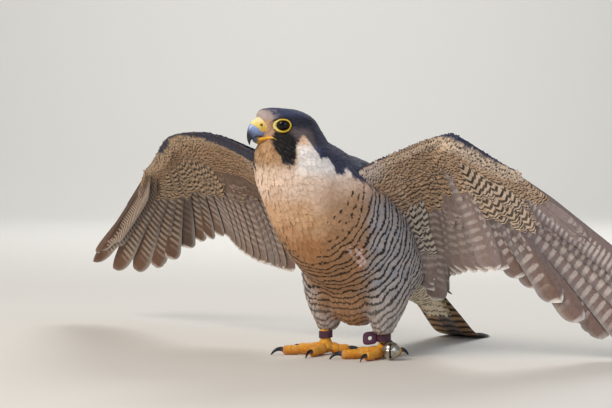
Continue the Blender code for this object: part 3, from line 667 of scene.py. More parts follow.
def onTail(across, s):
    # place and upper normal on the tail's arched sheet: across is -1 to 1, s along it
    across, s = np.broadcast_arrays(np.asarray(across, float), np.asarray(s, float))
    y, z, pitch = tailLine(s)
    half = read(tail["half"], s)
    up = np.stack([np.zeros_like(pitch), np.sin(pitch), np.cos(pitch)], -1)
    arch = 5 * (1 - across**2) * np.clip(1 - s / 150, 0, 1) + 1.4
    place = np.stack([across * half, y, z], -1) + up * arch[..., None]
    tilt = 10 * across / np.maximum(half, 1) * np.clip(1 - s / 150, 0, 1)
    normal = unit(up + tilt[..., None] * np.array([1.0, 0, 0]))
    return place, normal


def tailStub():
    s = np.linspace(-30, 34, 10)
    y, z, pitch = tailLine(np.maximum(s, 0))
    y, z = y + np.minimum(s, 0) * np.cos(tail["pitch"]), z - np.minimum(s, 0) * np.sin(tail["pitch"])
    path = np.stack([np.zeros_like(s), y, z + 2], 1)
    return alongPath(path, (1, 0, 0), np.linspace(24, 15, 10), np.linspace(15, 3, 10), 24)


print("body form")
bare = melted("body", bodyRings() + [tailStub()], body["voxel"], body["smoothing"])


def coatDepth(p):
    # how far the skin lies under the coat's outside
    a, s, u = headPlace(p)
    onFace = ramp(u + 0.35 * a, -34, -14)
    depth = mix(np.array([body["coat"]["trunk"]]), np.array([body["coat"]["neck"]]), ramp(p[:, 2], 160, 185))
    depth = mix(depth, np.array([body["coat"]["head"]]), onFace)
    depth = mix(depth, np.array([body["coat"]["leg"]]), ramp(-p[:, 2], -66, -50))
    return depth[:, 0]


points, groups = bare
points = points - normalsOf(points, groups) * coatDepth(points)[:, None]
points = sunkEyes(points)
form = solid("bodyForm", points, groups)
form.hide_render = True


def onForm(p):
    # nearest place on the body's form and its smooth normal: a cloud of points that two
    # settings of a Shrinkwrap draw onto the form and just above it
    shape = p.shape
    cloud = bpy.data.meshes.new("cloud")
    cloud.vertices.add(p.size // 3)
    cloud.vertices.foreach_set("co", ((p.reshape(-1, 3) + bird["origin"]) * bird["metres"]).ravel())
    obj = bpy.data.objects.new("cloud", cloud)
    bpy.context.scene.collection.objects.link(obj)
    wrap = obj.modifiers.new("wrap", "SHRINKWRAP")
    wrap.target = form
    found = []
    for mode, height in (("ON_SURFACE", 0.0), ("ABOVE_SURFACE", 0.001)):
        wrap.wrap_mode = mode
        wrap.offset = height
        bpy.context.view_layer.update()
        found.append(shapeOf(obj)[0])
    drop(obj)
    return found[0].reshape(shape), unit(found[1] - found[0]).reshape(shape)


# Colours and marks of the body's plumage
tint = {name: linear(text) for name, text in {
    "slate": "#31344a", "slatePale": "#555b7c", "black": "#060508", "crown": "#3a4160",
    "brow": "#1f2130", "ear": "#655a5c", "cheek": "#fbf2ea", "cheekBuff": "#ecc4a4",
    "forehead": "#b5a8a6", "lore": "#c39c7e", "loreDark": "#7f5f4a", "throat": "#bb9570",
    "throatDeep": "#9a7450", "tuft": "#e0c0b4",
    "bibTop": "#f2d6c0", "bib": "#e0b48c", "bibLow": "#b98457", "belly": "#ab7d52", "bibSideShade": "#a9815f",
    "bellyPale": "#c39a74", "flank": "#b3aba8", "flankBlue": "#a09ea3", "thigh": "#bfb2a8",
    "bar": "#0e0b0b", "barBrown": "#22140c", "mantle": "#333850", "mantleBar": "#1d1f2b",
    "rump": "#737a90", "vent": "#ead9bd", "ventBar": "#4a3b2e",
}.items()}
hood = {
    # outline of the dark hood seen from the side: ahead, up
    "outline": [(60, 60), (46, 19), (37, 17.2), (33.5, 12.5), (32, 6), (31, -2), (35.5, -8.6),
                (38.4, -15), (39.8, -19.9), (41, -25.3), (40.6, -31.4), (36.4, -38.5), (33, -30),
                (28.6, -23.7), (21.5, -17), (14.5, -12), (11.5, -8.6), (8.4, -8.3), (5, -12.9),
                (5.9, -19.2), (6.5, -28.4), (-2.7, -28.6), (-4.3, -27.7), (-6.9, -37), (-11.9, -44.1),
                (-18, -42.6), (-27, -39.5), (-400, -38), (-400, 60)],
    "twist": np.radians(18),        # how far the neck turns that outline back to the body
    # height above which the trunk is dark, by y
    "trunk": [(-80, 184), (-62, 178), (-40, 170), (0, 158), (30, 142), (60, 124), (90, 106),
              (110, 92), (130, 76), (170, 60)],
}
breast = {"middle": (0, -108, 174), "spotsFrom": 50, "barsFrom": 80, "spacing": 6.8}


def darkBy(p):
    # how far a place lies inside the dark upper parts, in millimetres: inside the hood's outline,
    # which turns with the neck, or above the trunk's line behind the shoulders
    a, s, u = headPlace(p)
    twist = hood["twist"] * ramp(-u, 12, 34)
    a, s = a * np.cos(twist) + s * np.sin(twist), s * np.cos(twist) - a * np.sin(twist)
    upper = insideBy(a, u, hood["outline"]) + 1.5 * (s < 0)
    upper = np.where((u < -8) & (a > 20), np.minimum(upper, np.abs(s) - 6.5), upper)
    line = read(hood["trunk"], p[..., 1])
    return np.maximum(upper, np.minimum(p[..., 2] - line, p[..., 1] + 68))


def markedBody(p, vane, chance):
    # ground and mark colours, barring (phase, half width, strength) and edging (spot limit,
    # fringe, barb place) for places p, vane places (across, along) and three chances a feather
    a, s, u = headPlace(p)
    s = np.abs(s)
    x, y, z = p[..., 0], p[..., 1], p[..., 2]
    rough = (1.4 * waves(p, 9, 1) + (chance[..., 0] - 0.5) * 2.4) * (1 - 0.55 * ramp(z, 190, 204))
    # under parts: cream throat, pale then warm breast, tan belly, grey flanks and thighs
    ground = mix(tint["throat"], tint["throatDeep"], ramp(waves(p, 14, 4), 0.0, 0.7) * 0.7)
    ground = mix(ground, tint["bibTop"], ramp(-z, -196, -184))
    ground = mix(ground, tint["bib"], ramp(-z + 10 * waves(p, 40, 2), -176, -140))
    ground = mix(ground, tint["bibLow"], ramp(-z + 8 * waves(p, 30, 5), -142, -112))
    ground = mix(ground, tint["belly"], ramp(-z, -108, -86))
    ground = mix(ground, tint["bellyPale"], ramp(-z, -84, -60))
    side = 0.81 * np.abs(x) + 0.59 * y + 5 * waves(p, 25, 3)
    grey = ramp(side, 4, 24) * ramp(-z, -172, -150)
    # the breast darkened towards its sides: painted shade
    ground = mix(ground, tint["bibSideShade"], ramp(side, -42, -12) * ramp(-z, -186, -150) * 0.85)
    ground = mix(ground, mix(tint["flank"], tint["flankBlue"], ramp(waves(p, 22, 7), -0.2, 0.6)), grey)
    ground = mix(ground, tint["thigh"], ramp(-z, -84, -50) * ramp(side, 6, 28) * 0.7)
    ground = mix(ground, tint["vent"], ramp(y, 60, 84) * ramp(-z, -104, -90))
    # white cheek with a buff corner, and a pink tuft where the flank's feathers part
    cheek = ramp(s, 14, 22) * ramp(u, -50, -38) * ramp(-a, -24, -18)
    ground = mix(ground, tint["cheek"], cheek)
    ground = mix(ground, tint["cheekBuff"], cheek * ramp(u, -20, -13) * ramp(a, 4, 9))
    tuftAxis = np.clip((y + 62) / 24, 0.2, 0.8)
    tuftMiddle = np.stack([42.4 + 0 * x, -62 + 24 * tuftAxis, 115 - 21 * tuftAxis], -1)
    fromTuft = np.linalg.norm(p - tuftMiddle, axis=-1)
    tuft = (1 - ramp(fromTuft + 5 * (chance[..., 0] - 0.5), 3.5, 7)) * ramp(chance[..., 1], 0.15, 0.6)
    ground = mix(ground, tint["tuft"], tuft)
    # upper parts
    dark = ramp(darkBy(p) + rough, -0.9, 0.9)
    upper = mix(tint["crown"], tint["brow"], ramp(-u, -14, -7) * ramp(z, 206, 214))
    upper = mix(upper, tint["black"], ramp(-u, 0, 9) * ramp(a, 8, 15))
    upper = mix(upper, tint["slate"], ramp(-a, 2, 12))
    upper = mix(upper, tint["ear"], ramp(a, -6, 4) * ramp(-a, -21, -15) * ramp(-u, -2, 5) * 0.85)
    upper = mix(upper, tint["mantle"], ramp(-z, -200, -185))
    upper = mix(upper, tint["rump"], ramp(y, 30, 75))
    ground = mix(ground, upper, dark)
    # pink lores and forehead, streaked by the dark shafts of single feathers
    front = ramp(a, 27, 32)
    streaked = ramp(chance[..., 1] + 0.3 * waves(p, 4, 8), 0.45, 0.75)
    lore = mix(tint["lore"], tint["loreDark"], streaked * 0.7)
    ground = mix(ground, lore, front * ramp(u, -13, -8) * (1 - dark))
    brow = ramp(a, 25, 30) * ramp(u, 6, 9) * (1 - ramp(u, 15.5, 19)) * (1 - streaked)
    ground = mix(ground, tint["forehead"], np.maximum(brow * 0.45, front * ramp(u, 6, 9) * (1 - dark) * 0.9))
    ground = ground * (0.92 + 0.16 * chance[..., 2])[..., None]
    # marks
    away = np.linalg.norm(p - breast["middle"], axis=-1) + 2.5 * waves(p, 30, 6)
    lateral = ramp(np.abs(x), 4, 30)
    spotsFrom = breast["spotsFrom"] + 22 * (1 - lateral)
    light = (1 - dark) * ramp(-z, -178, -172)
    # bars run round a centre on the breast; nearer to it they break up into dashes, then spots
    across, along = vane[..., 0], vane[..., 1]
    phase = away / breast["spacing"] + (chance[..., 2] - 0.5) * 0.22 - 0.10 * across**2
    halfBar = (0.175 + 0.035 * grey + 0.03 * waves(p, 12, 9)) * (1 - 0.35 * across**2)
    broken = 0.4 - 1.6 * ramp(away, spotsFrom + 6, breast["barsFrom"] + 20 + 14 * (1 - lateral))
    limit = (waves(p, 10.5, 21) - broken) * 2.2
    strength = light * (0.94 - 0.3 * ramp(-z, -70, -34)) * ramp(away, spotsFrom - 2, spotsFrom + 2)
    strength = strength * (1 - 0.6 * tuft)
    backBar = dark * ramp(y, -40, 20)
    phase = np.where(dark > 0.5, along * 2.2 + 0.2, phase)
    halfBar = np.where(dark > 0.5, 0.16, halfBar)
    limit = np.where(dark > 0.5, 1.0, limit)
    strength = np.where(dark > 0.5, 0.75 * backBar, strength)
    mark = mix(tint["bar"], tint["barBrown"], (1 - grey) * 0.8)
    mark = mix(mark, tint["mantleBar"], dark)
    fringe = dark * (0.10 + 0.32 * ramp(-z, -196, -170)) + 0.10 * (1 - dark)
    return markings(ground, mark, (phase, halfBar, strength), (limit, fringe, along * 22))


# Vanes: closed thin feathers, thousands in one mesh
# on the bake map a small feather has a spot of this half width, and all a wing's or the tail's
# long ones share a band of this width for each sheet
bakeSpot, bakeBand = 0.0015, 0.47


def vaneRings(stem, side, up, halfWidth, thick, droop):
    # four points a ring: left edge, ridge, right edge, underside; edges hang by droop x width
    w = halfWidth[..., None]
    left = stem - side * w - up * w * droop
    right = stem + side * w - up * w * droop
    return np.stack([left, stem + up * thick, right, stem - up * thick * 0.6], -2)


def vanePiece(name, stem, side, up, halfWidth, outline, thick, droop, marks, patch):
    # stem (feathers, rings, 3) with its last ring the tip; halfWidth the same, outline a ring
    count, rings = stem.shape[:2]
    ring = vaneRings(stem[:, :-1], side[:, :-1], up[:, :-1], halfWidth[:, :-1] * outline[None, :-1],
                     thick, droop)
    points = np.concatenate([ring.reshape(count, -1, 3), stem[:, -1:]], 1)
    per = (rings - 1) * 4 + 1
    base = (np.arange(count) * per)[:, None, None]
    quads = np.concatenate([gridFaces(rings - 1, 4), [[3, 2, 1, 0]]])
    last = per - 5 + np.arange(4)
    tips = np.stack([last, np.roll(last, -1), np.full(4, per - 1)], -1)
    quads = (base + quads).reshape(-1, 4)
    tips = (base + tips).reshape(-1, 3)
    along = np.linspace(0, 1, rings)
    across = np.array([-1, 0, 1, 0])
    vane = np.stack(np.broadcast_arrays(across[None, :], along[:-1, None]), -1).reshape(-1, 2)
    vane = np.broadcast_to(np.concatenate([vane, [[0, 1]]]), (count, per, 2))
    values = marks(points, vane)
    flat = vane.reshape(-1, 2)
    spread = patch[:, None, :] + np.stack([vane[..., 0], (vane[..., 1] - 0.5) * 2], -1) * bakeSpot
    spread = spread.reshape(-1, 2)
    maps = {"vane": [flat[quads], flat[tips]], "OFBake": [spread[quads], spread[tips]]}
    piece = solid(name, points, [quads, tips],
                  {key: value.reshape(count * per, -1) for key, value in values.items()}, maps, 1.0)
    print(name, count, "feathers")
    return finished(piece, plumage)


outlines = {
    "small": (np.array([0, 0.4, 0.85, 1.0]), np.array([0.5, 0.95, 0.75, 0.0])),
    "broad": (np.array([0, 0.3, 0.6, 0.85, 0.96, 1.0]), np.array([0.35, 0.8, 1.0, 0.82, 0.42, 0.0])),
    "lance": (np.array([0, 0.3, 0.6, 0.82, 0.95, 1.0]), np.array([0.4, 0.9, 0.95, 0.62, 0.25, 0.0])),
}


def scattered(mask, spacing, seed):
    # places on the body's form, none nearer to another than spacing, where the mask is 1
    mesh = form.data
    old = mesh.attributes.get("tract")
    if old:
        mesh.attributes.remove(old)
    mesh.attributes.new("tract", "FLOAT", "POINT").data.foreach_set("value", mask.astype(np.float32))
    tree = bpy.data.node_groups.new("scatter", "GeometryNodeTree")
    tree.interface.new_socket("Geometry", in_out="INPUT", socket_type="NodeSocketGeometry")
    tree.interface.new_socket("Geometry", in_out="OUTPUT", socket_type="NodeSocketGeometry")
    start = addNode(tree, "NodeGroupInput")
    tract = addNode(tree, "GeometryNodeInputNamedAttribute", {"data_type": "FLOAT"}, Name="tract")
    points = addNode(tree, "GeometryNodeDistributePointsOnFaces", {"distribute_method": "POISSON"},
                     Mesh=start.outputs[0], Distance_Min=spacing * 0.001,
                     Density_Max=2.4e6 / spacing**2, Density_Factor=tract.outputs[0], Seed=seed)
    vertices = addNode(tree, "GeometryNodePointsToVertices", Points=points.outputs["Points"])
    end = addNode(tree, "NodeGroupOutput")
    tree.links.new(vertices.outputs[0], end.inputs[0])
    modifier = form.modifiers.new("scatter", "NODES")
    modifier.node_group = tree
    bpy.context.view_layer.update()
    found = shapeOf(form)[0]
    form.modifiers.remove(modifier)
    bpy.data.node_groups.remove(tree)
    return found


def lie(p, normal):
    # the way the feathers lie: back from the bill, back and down from the breast, down the
    # legs, along the tail; always in the surface
    x, y, z = p[..., 0], p[..., 1], p[..., 2]
    bill, chest = np.array([-15.0, -128, 228]), np.array([0.0, -80, 165])
    source = mix(bill, chest, ramp(-z, -176, -140))
    way = unit(p - source)
    legs = ramp(-z, -92, -60) * ramp(-y, -64, -40)
    way = mix(way, np.array([0, 0.12, -1.0]), legs)
    tailward = np.array([0, np.cos(tail["pitch"]), -np.sin(tail["pitch"])])
    way = mix(way, tailward, ramp(y, 55, 85) * (1 - legs))
    return unit(way - normal * (way * normal).sum(-1, keepdims=True))


def bodyFeathers(name, mask, spacing, length, halfWidth, depth, kind, seed, ruffle=0.0):
    # contour feathers over one tract: each stem steps along the form and rises to the coat's depth
    roots = scattered(mask, spacing, seed)
    at, outline = outlines[kind]
    count = len(roots)
    draws = np.random.default_rng(seed)
    chance = draws.random((count, 3))
    size = 0.85 + 0.3 * draws.random(count)
    sway = (draws.random(count) - 0.5) * (0.35 + ruffle)
    here, normal = onForm(roots)
    stem, sides, ups = [here], [], []
    way = lie(here, normal)
    for k in range(len(at)):
        side = np.cross(way, normal)
        heading = way + side * sway[:, None] * (1 - at[k])
        sides.append(unit(np.cross(normal, heading)))
        ups.append(normal)
        if k == len(at) - 1:
            break
        step = (at[k + 1] - at[k]) * length * size
        here, normal = onForm(here + unit(heading) * step[:, None])
        way = lie(here, normal)
        stem.append(here)
    stem, side, up = np.stack(stem, 1), np.stack(sides, 1), np.stack(ups, 1)
    lift = 0.25 + (depth * (0.72 + 0.24 * draws.random(count)))[:, None] * at[None, :] ** 1.2
    lift = lift + (ruffle * draws.random(count))[:, None] * 4 * at[None, :] ** 2
    stem = stem + up * lift[..., None]
    roll = (draws.random(count) - 0.5)[:, None, None] * 0.12
    side, up = unit(side + up * roll), unit(up - side * roll)
    turn = np.arctan2(roots[:, 0], roots[:, 2] - 130 + 0.4 * roots[:, 1])
    rise = np.clip((roots[:, 1] - 0.8 * roots[:, 2] + 340) / 500, 0, 1)
    patch = np.stack([0.5 + turn / (2 * np.pi) * 0.96, 0.02 + 0.96 * rise], -1)
    width = (halfWidth * size)[:, None] * (0.86 + 0.28 * draws.random((count, len(at))))

    def marks(p, vane):
        c = np.broadcast_to(chance[:, None, :], (count, p.shape[1], 3))
        return markedBody(p, vane, c)

    return vanePiece(name, stem, side, up, width, outline, 0.08, 0.10, marks, patch)


p = np.array(points)
a, s, u = headPlace(p)
eyeFree = np.ones(len(p), bool)
for sign in (1, -1):
    centre, out, forth, up = eyeFrame(sign)
    d = p - centre
    eyeFree &= ~((d @ out > 0) & (ringReach(d @ forth, d @ up) < 1.12))
billFree = ~((a > 36.5) & (u > -14) & (u < 12)) & ~((a > 34.5) & (u < 9) & (u > -12))
onHeadNow = (u > -24) & (np.hypot(a - 8, s) < 42)
face = onHeadNow & (a > 14) & (np.abs(s) < 34) & eyeFree & billFree
crown = onHeadNow & ~face & eyeFree & billFree
# each tract begins a feather's length under the one before it, along wandering borders, so that
# no step shows where they meet
level = p[:, 2] + 3.5 * waves(p, 24, 11)
inDark = darkBy(p) > 0
face = face * ramp(u + 2 * waves(p, 9, 4), -24, -17)
crown = crown * ramp(u + 2 * waves(p, 9, 4), -24, -17)
throat = ((p[:, 2] > 176) & eyeFree & billFree) * ramp(level, 179, 197) * (1 - ramp(u, -16, -11))
shank = (p[:, 1] < 50) * (1 - ramp(level, 78, 94))
dorsal = inDark * ((p[:, 2] > 78) | (p[:, 1] >= 50)) * (1 - ramp(level, 190, 206))
pale = ~inDark & ((p[:, 2] > 72) | (p[:, 1] >= 50))
front = ramp(-p[:, 1], 52, 66) * ramp(level, 144, 160)
breastTract = pale * front * (1 - ramp(level, 192, 208))
ventral = pale * (1 - front * ramp(level, 164, 182)) * (p[:, 1] < 120) * (1 - ramp(level, 178, 190))
left = p[:, 0] > 0
print("body feathers")
bodyFeathers("featherFace", face, 1.05, 5.5, 0.9, 0.8, "small", 1)
bodyFeathers("featherCrown", crown, 1.3, 8.5, 1.2, 1.1, "small", 2)
bodyFeathers("featherThroat", throat, 1.8, 11.0, 1.7, 1.7, "broad", 3)
bodyFeathers("featherBreast", breastTract, 2.5, 16.0, 2.6, 2.2, "broad", 4)
bodyFeathers("featherBellyLeft", ventral * left, 2.9, 19.0, 3.1, 2.6, "broad", 5)
bodyFeathers("featherBellyRight", ventral * ~left, 2.9, 19.0, 3.1, 2.6, "broad", 15)
bodyFeathers("featherThighs", shank, 2.6, 18.0, 2.5, 2.3, "lance", 6)
bodyFeathers("featherBack", dorsal, 3.6, 21.0, 4.4, 2.6, "broad", 7)

# Skin
print("skin")
fleshRings = [wingFlesh(covertBoneSets[side], 1.0) for side in ("left", "right")]
formRings = bodyRings() + [tailStub()]
whole, wholeGroups = melted("skin", formRings + fleshRings, body["voxel"], 4)
wholeNormal = normalsOf(whole, wholeGroups)
near, _ = onForm(whole)
beyondBody = np.linalg.norm(whole - near, axis=1)
depth = coatDepth(whole) * (1 - ramp(beyondBody, 3, 7))
skinPoints = sunkEyes(whole - wholeNormal * depth[:, None])
calm = np.full((len(skinPoints), 3), 0.5)
skinMarks = markedBody(skinPoints, np.zeros((len(skinPoints), 2)), calm)
onWingFlesh = ramp(beyondBody, 4, 8)
upperWing = np.maximum(ramp(wholeNormal[:, 1], -0.1, 0.1), ramp(wholeNormal[:, 2], -0.3, -0.1))
skinMarks["ground"] = mix(skinMarks["ground"], mix(linear("#7b6552"), tint["mantle"], upperWing),
                          onWingFlesh)
skin = solid("skin", skinPoints, wholeGroups, skinMarks,
             {"vane": [np.zeros((*g.shape, 2)) for g in wholeGroups]})
finished(skin, plumage,
         ["head", "neck", "trunk", "tail", "leg_left", "leg_right", "wing_left_arm", "wing_left_hand",
          "wing_right_arm", "wing_right_hand"])

# Wing coverts
wingTint = {name: linear(text) for name, text in {
    "cream": "#dcc4ac", "buff": "#cba684", "dark": "#20140d", "black": "#120c0b",
    "slate": "#3c3e50", "slateBar": "#2b2c38", "remexPale": "#cfc1b8",
    "remexWhite": "#f3ece4", "remexUpper": "#4b4846", "remexUpperPale": "#857a70",
    "rust": "#8a6248", "shoulder": "#dccabf", "axillary": "#d8cfc6",
}.items()}
covert = {
    # distance between the rows of small coverts, and where they begin and end behind the edge
    "rowStep": 2.9, "first": 0.8, "last": 42.0,
    # rows of middle coverts: behind the edge, length, half width, spacing
    "median": [(46, 18, 3.6, 4.2), (52, 20, 3.9, 4.6), (59, 22, 4.2, 5.0), (67, 24, 4.5, 5.4),
               (76, 26, 4.8, 5.8)],
    # where the barred coverts' tips end under the wing, by feather number
    "left": {"ends": [(0, 96), (7.5, 104), (9.5, 80), (12, 76), (14, 78), (15, 98), (20, 104), (21, 66),
                      (24, 48)],
             "border": [(0, 0), (9, 0), (12, 1.6), (14, 2.8), (20, 2.4), (22, 0)],
             # tone: how far a wing's colours are darkened as painted shade; 1 leaves them as they are
             "tone": (1.0, 1.0, 1.0),
             # rows of longer coverts: behind the edge, first and last feather, length, half
             # width, spacing
             "greater": [(66, 8.5, 15, 44, 5.2, 6.5), (80, 8.5, 14.6, 40, 5.2, 6.5),
                         (46, 20.5, 23.6, 46, 4.6, 6.0), (62, 20.5, 23.6, 50, 4.6, 6.0)],
             "chevron": [(28, 14.8, 20.5, 46, 4.5, 6.6), (46, 14.8, 20.5, 54, 4.8, 7.2)],
             "axillary": [(88, 0.6, 4.4, 46, 4.6, 5.0), (106, 1.2, 4.2, 58, 4.8, 5.2)]},
    "right": {"ends": [(0, 70), (2.5, 64), (4, 54), (8, 56), (9.5, 84), (14, 92), (18, 104), (20.5, 102),
                       (21.5, 52), (24, 44)],
              "border": [(0, 12), (4, 11), (7, 7), (9, 4.4), (11, 2.6), (12.7, 1.8), (14, 2.6),
                         (15, 5.5), (17, 5.5), (18.5, 0), (24, 0)],
              # the right wing's colours darkened and warmed: painted shade, as this wing lies in shade
              "tone": (0.72, 0.66, 0.58),
              "greater": [(44, 0.6, 9, 40, 5.0, 6.2), (56, 0.6, 8.6, 42, 5.0, 6.4),
                          (40, 21, 23.6, 42, 4.4, 6.0)],
              "chevron": [(34, 9.5, 20, 40, 4.3, 6.3), (52, 9.5, 18, 42, 4.6, 6.8)],
              "axillary": []},
}


def covertRows(side, under):
    # rows of a wing's coverts: behind the edge, first and last feather, length, half width, spacing, look
    rows = []
    for m in np.arange(covert["first"], covert["last"], covert["rowStep"]):
        grow = m / covert["last"]
        rows.append((m, 0.3, 23.8, 8.5 + 5 * grow, 2.0 + 1.0 * grow, 2.7 + 0.9 * grow, "lesser"))
    rows += [(m, 0.3, 23.8, *sizes, "median") for m, *sizes in covert["median"]]
    if under:
        ends = np.array(covert[side]["ends"], float).T
        rows += [(*row, "greater") for row in covert[side]["greater"]]
        rows += [(*row, "chevron") for row in covert[side]["chevron"]]
        rows += [(*row, "axillary") for row in covert[side]["axillary"]]
    else:
        # above, the small coverts end a little past the roots and the greater ones lie over the bases
        rows = [row for row in rows if row[0] > 3]
        ends = np.array([(0, 60), (14, 66), (15, 52), (24, 44)], float).T
        rows += [(54, 1, 15, 38, 6.0, 7.0, "greater"), (30, 15, 23.8, 40, 5.4, 6.0, "greater"),
                 (44, 15, 23.6, 42, 5.4, 6.2, "greater")]
    return rows, ends


def wingFeathers(name, side, face, seed, tones):
    # coverts in rows on one face of a wing; face is 1 above and -1 below
    bones = covertBoneSets[side]
    draws = np.random.default_rng(seed)
    rows, ends = covertRows(side, face < 0)
    starts, lengths, widths, looks = [], [], [], []
    for number, (m, first, last, length, halfWidth, spacing, look) in enumerate(rows):
        i = np.linspace(first, last, 500)
        place = onWing(bones, i, m)[0]
        run = summed(np.linalg.norm(np.diff(place, axis=0), axis=1))
        where = np.arange(spacing * (0.25 + 0.5 * (number % 2)), run[-1], spacing)
        where = where + (draws.random(len(where)) - 0.5) * spacing * 0.5
        at = np.interp(where, run, i)
        if look in ("lesser", "median"):
            at = at[m + length < np.interp(at, *ends) + 8 * draws.random(len(at))]
        starts.append(np.stack([at, m + (draws.random(len(at)) - 0.5) * 2.4], 1))
        lengths.append(length * (0.88 + 0.24 * draws.random(len(at))))
        widths.append(np.full(len(at), halfWidth))
        looks += [look] * len(at)
    start, length, halfWidth = np.concatenate(starts), np.concatenate(lengths), np.concatenate(widths)
    looks = np.array(looks)
    count = len(start)
    chance = draws.random((count, 3))
    at, outline = outlines["broad"]
    sway = (draws.random(count) - 0.5) * 0.25
    i = start[:, :1]
    m = start[:, 1:] + length[:, None] * at[None, :]
    place, normal, half, heading = onWing(bones, i, m)
    across = unit(np.cross(heading, normal))
    base = np.maximum(half, np.where(m > 0, 2.3, 0.6)) + 0.1
    lift = 0.2 + np.minimum(0.5 + 0.035 * length, 1.6)[:, None] * at[None, :] * (0.85 + 0.3 * chance[:, :1])
    lift = lift * (0.45 + 0.55 * ramp(m, 2, 12))
    lift = lift + np.where(looks == "axillary", 1.2, np.where(looks == "chevron", 0.7, 0))[:, None]
    up = normal * face
    bend = sway[:, None] * length[:, None] * at**1.5
    stem = place + up * (base + lift)[..., None] + across * bend[..., None]
    roll = (draws.random(count) - 0.5)[:, None, None] * 0.12
    sideways = unit(across + up * roll)
    square = np.cross(sideways, heading)
    up = unit(square * np.sign((square * up).sum(-1, keepdims=True)))
    patch = np.stack([(0.03 + 0.94 * start[:, 0] / 25) * 0.5 + (0.5 if face < 0 else 0),
                      0.02 + start[:, 1] / 110], -1)
    width = halfWidth[:, None] * (0.86 + 0.28 * draws.random((count, len(at))))

    def marks(points, vane):
        return tones(side, points, vane, chance, start, length, looks)

    return vanePiece(name, stem, sideways, up, width, outline, 0.09, 0.12, marks, patch)


def underTones(side, points, vane, chance, start, length, looks):
    # cream and buff under coverts with dark bars, chevrons on the longer ones, a slate border
    # along the leading edge, and grey-brown greater coverts with pale spots
    shape = vane.shape[:2]
    grow = lambda value: np.broadcast_to(np.asarray(value)[:, None], shape)
    i, m = grow(start[:, 0]), grow(start[:, 1])
    c0, c1, c2 = (grow(chance[:, k]) for k in range(3))
    median, greater, axillary, chevrons = (grow((looks == k).astype(float)) for k in
                                           ("median", "greater", "axillary", "chevron"))
    bold = np.maximum(np.maximum(median * ramp(i, 13, 16), chevrons), axillary)
    tone = np.array(covert[side]["tone"])
    buff = ramp(m, 3, 14) * (0.4 + 0.6 * c0) * (1 - 0.7 * bold)
    ground = mix(wingTint["cream"], wingTint["buff"], buff)
    ground = mix(ground, wingTint["shoulder"], ramp(-i, -3.0, -1.2) * ramp(-m, -24, -12))
    ground = mix(ground, wingTint["axillary"], 0.75 * axillary)
    ground = mix(ground, remexTint[side], greater)
    # tone darkens the right wing's coverts: painted shade
    ground = ground * (0.88 + 0.24 * c2)[..., None] * tone
    across, along = vane[..., 0], vane[..., 1]
    kinds = (greater, axillary, bold, median)
    choose = lambda values, last: np.select([kind > 0.5 for kind in kinds], values, last)
    spacing = choose([8.6, 5.7, 5.7, 4.8], 3.8)
    chevron = choose([0.15, 0.5, 0.55, 0.4], 0.3)
    phase = along * grow(length) / spacing + chevron * np.abs(across) + (c0 - 0.5) * (0.5 + 0.5 * bold)
    half = choose([0.2, 0.22, 0.24, 0.2], 0.2) + 0.05 * (c1 - 0.5)
    half = np.where(greater > 0.5, half * (1 - np.abs(across)) * 1.6, half)
    limit = np.where(m < 9, 0.6 - np.abs(across), 1.0)
    mark = mix(wingTint["dark"], wingTint["black"], np.maximum(axillary, bold))
    mark = mix(mark, wingTint["remexPale"] * tone, greater)
    strength = (0.95 - 0.15 * c1) * np.where(greater > 0.5, 0.8 * ramp(along, 0.35, 0.6), 1)
    edge = read(covert[side]["border"], i)
    border = ramp(edge - m - along * grow(length) + 2 * (c1 - 0.5), -0.8, 0.8)
    # the border is darkened on the right wing by the same painted shade
    ground = mix(ground, wingTint["slate"] * (0.4 + 0.6 * tone[0]), border)
    strength = strength * (1 - border)
    return markings(ground, mark, (phase, half, strength), (limit, 0.12, along * 22))


def upperTones(side, points, vane, chance, start, length, looks):
    # slate upper coverts with paler fringes and dim darker bars
    across, along = vane[..., 0], vane[..., 1]
    ground = mix(wingTint["slate"], tint["slatePale"], ramp(waves(points, 40, 3), -0.2, 0.8) * 0.4)
    ground = ground * (0.85 + 0.3 * chance[:, 2:])[..., None]
    phase = along * length[:, None] / 7.5 + 0.2 * np.abs(across) + chance[:, :1] * 0.4
    return markings(ground, wingTint["slateBar"], (phase, 0.18, 0.7), (1.0, 0.4, along * 22))


# the right wing's tints are darker, browner copies of the left's: painted shade, as that wing lies in shade
remexTint = {"left": linear("#998680"), "right": linear("#8a7266")}
primeTint = {"left": linear("#897670"), "right": linear("#543d2e")}
print("wing coverts")
for side, seed in (("left", 31), ("right", 41)):
    wingFeathers(f"covertsUnder_{side}", side, -1, seed, underTones)
    wingFeathers(f"covertsUpper_{side}", side, 1, seed + 20, upperTones)

# Flight feathers
remex = {"rows": 44, "tilt": 0.11, "vane": 0.16,
         "columns": [-1, -0.72, -0.4, -0.1, 0, 0.1, 0.55, 1]}     # trailing edge to leading edge


